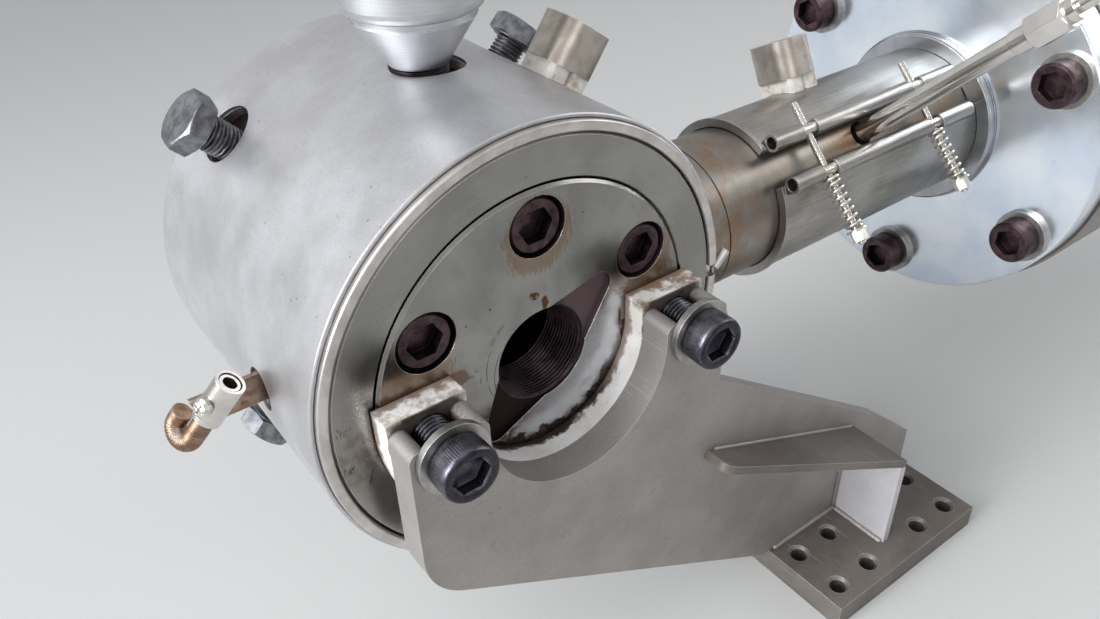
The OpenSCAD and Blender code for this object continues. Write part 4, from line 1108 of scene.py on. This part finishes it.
socket_place = np.array((-124.6, 44.23, 3.1))
px, py, pz = probe_axes()
lead_turn = math.radians(140)
away = px * math.cos(lead_turn) + py * math.sin(lead_turn)
across = np.cross(pz, away)
bend_r, lead_top, lead_low, tail_top = 5.0, 5.0, -13.0, -8.0
fine = 0.12
path_in = [(0.0, z) for z in np.arange(lead_top, lead_low, -fine)]
bend = [(bend_r - bend_r * math.cos(a), lead_low - bend_r * math.sin(a))
        for a in np.arange(0, math.pi, fine / bend_r)]
path_out = [(2 * bend_r, z) for z in np.arange(lead_low, tail_top, fine)]
path = np.array(path_in + bend + path_out)
step = np.gradient(path, axis=0)
step /= np.linalg.norm(step, axis=1)[:, None]
length = np.concatenate(((0,), np.cumsum(np.linalg.norm(np.diff(path, axis=0), axis=1))))
lead_r, groove, wire_pitch, sides = 4.2, 0.22, 1.15, 28
radius = lead_r - groove + groove * np.abs(np.sin(np.pi * length / wire_pitch)) ** 0.6
ring = 2 * np.pi * np.arange(sides) / sides
side_way = np.stack((step[:, 1], -step[:, 0]), -1)
flat = path[:, None] + (radius[:, None] * np.cos(ring))[..., None] * side_way[:, None]
high = radius[:, None] * np.sin(ring)
grid = socket_place + flat[..., :1] * away + flat[..., 1:] * pz + high[..., None] * across
piece("lead_coiled", [capped(grid)], "copper_sheath", ("probe_lead",), sharp=80)
print("probe lead: %.0f mm of wire coil" % length[-1])

# %% [markdown]
# ### Weld beads
# The bracket is welded from plates. A bead is a rounded string along the joint
# with the small overlapping scales that the torch leaves, never quite even.


# %% Welds
def bead(a, b, out, radius, scale=2.4, seed=1):
    """A string from a to b: section a circle, radius r (0.94 + 0.12 saw + 0.08 slow wave)."""
    a, b = np.asarray(a, float), np.asarray(b, float)
    run = np.linalg.norm(b - a)
    s = np.linspace(0, run, int(run / 0.5) + 1)
    line = (b - a) / run
    out = np.asarray(out, float)
    out = out - line * (out @ line)
    out /= np.linalg.norm(out)
    side = np.cross(line, out)
    ring = 2 * np.pi * np.arange(16) / 16
    lag = 0.9 * np.cos(ring)
    saw = (s[:, None] / scale + 0.35 * lag + 0.15 * np.sin(s / 3.1 + seed)[:, None]) % 1.0
    slow = np.sin(s / 7.0 + seed) * 0.5 + np.sin(s / 2.9 + 2 * seed) * 0.3
    size = radius * (0.94 + 0.12 * saw + 0.08 * slow[:, None])
    ends = np.clip(np.minimum(s, run - s) / radius, 0, 1)
    size *= np.sqrt(1 - (1 - ends) ** 2)[:, None] * 0.9 + 0.1
    section = np.cos(ring)[:, None] * out + np.sin(ring)[:, None] * side
    return capped(a + s[:, None, None] * line + size[..., None] * section)


gusset_left, gusset_right, gusset_front, gusset_back = 188.4, 193.0, -63.5, -28.5
base_left, base_right = 136.0, 252.0
shelf_left, shelf_right, shelf_z = 74.0, 191.0, -77.0
shelf_slope = (-128.0 - shelf_z) / (193.0 - shelf_left)
shelf_start = (shelf_left + 4.0, WEB_FRONT_Y - 0.1, shelf_z + 4.0 * shelf_slope)
shelf_end = (shelf_right, WEB_FRONT_Y - 0.1, shelf_z + (shelf_right - shelf_left) * shelf_slope)
beads = [
    bead((gusset_left, gusset_front, BASE_TOP_Z), (gusset_left, gusset_back, BASE_TOP_Z),
         (-1, 0, 1), 2.0, seed=1),
    bead((gusset_left, WEB_FRONT_Y - 0.1, -188.5), (gusset_left, WEB_FRONT_Y - 0.1, -133.0),
         (-1, -1, 0), 1.6, seed=2),
    bead(shelf_start, shelf_end, (0, -1, 1), 1.1, seed=3),
    bead((base_left, WEB_FRONT_Y, BASE_TOP_Z), (base_right, WEB_FRONT_Y, BASE_TOP_Z),
         (0, -1, 1), 1.9, seed=4),
    bead((base_left, WEB_BACK_Y, BASE_TOP_Z), (base_right, WEB_BACK_Y, BASE_TOP_Z),
         (0, 1, 1), 1.9, seed=5),
    bead((gusset_right, gusset_front, BASE_TOP_Z), (gusset_right, gusset_back, BASE_TOP_Z),
         (1, 0, 1), 1.9, seed=6),
]
piece("weld_beads", beads, "bracket_steel", sharp=60)
print("welds:", len(beads), "beads")

# %% [markdown]
# ### Rim pin
# The strip round the jacket's front ends in a short pin that stands out at the
# right. It is a round bar with both ends rounded off, laid from the strip's end
# outwards and a little up.

# %% Rim pin
pin_foot, pin_tip = np.array((99.6, 1.3, 1.2)), np.array((106.2, 0.9, 8.6))
pin_length = np.linalg.norm(pin_tip - pin_foot)
pin_z = (pin_tip - pin_foot) / pin_length
pin_x = np.cross((0, 1, 0), pin_z)
pin_x /= np.linalg.norm(pin_x)
pin_r, pin_edge = 2.3, 0.7
quarter = np.linspace(0, np.pi / 2, 6)
open_up, close_in = pin_edge * (1 - np.sin(quarter)), pin_edge * (1 - np.cos(quarter))
along = np.concatenate((close_in, pin_length - open_up))
radius = np.concatenate((pin_r - open_up, pin_r - close_in))
points, quads, tris = capped(rod(along, radius[:, None], 32))
pin = (place(points, pin_foot, pin_x, np.cross(pin_z, pin_x), pin_z), quads, tris)
piece("rim_pin", [pin], "heater_edge")
print("rim pin: %.1f mm long" % pin_length)
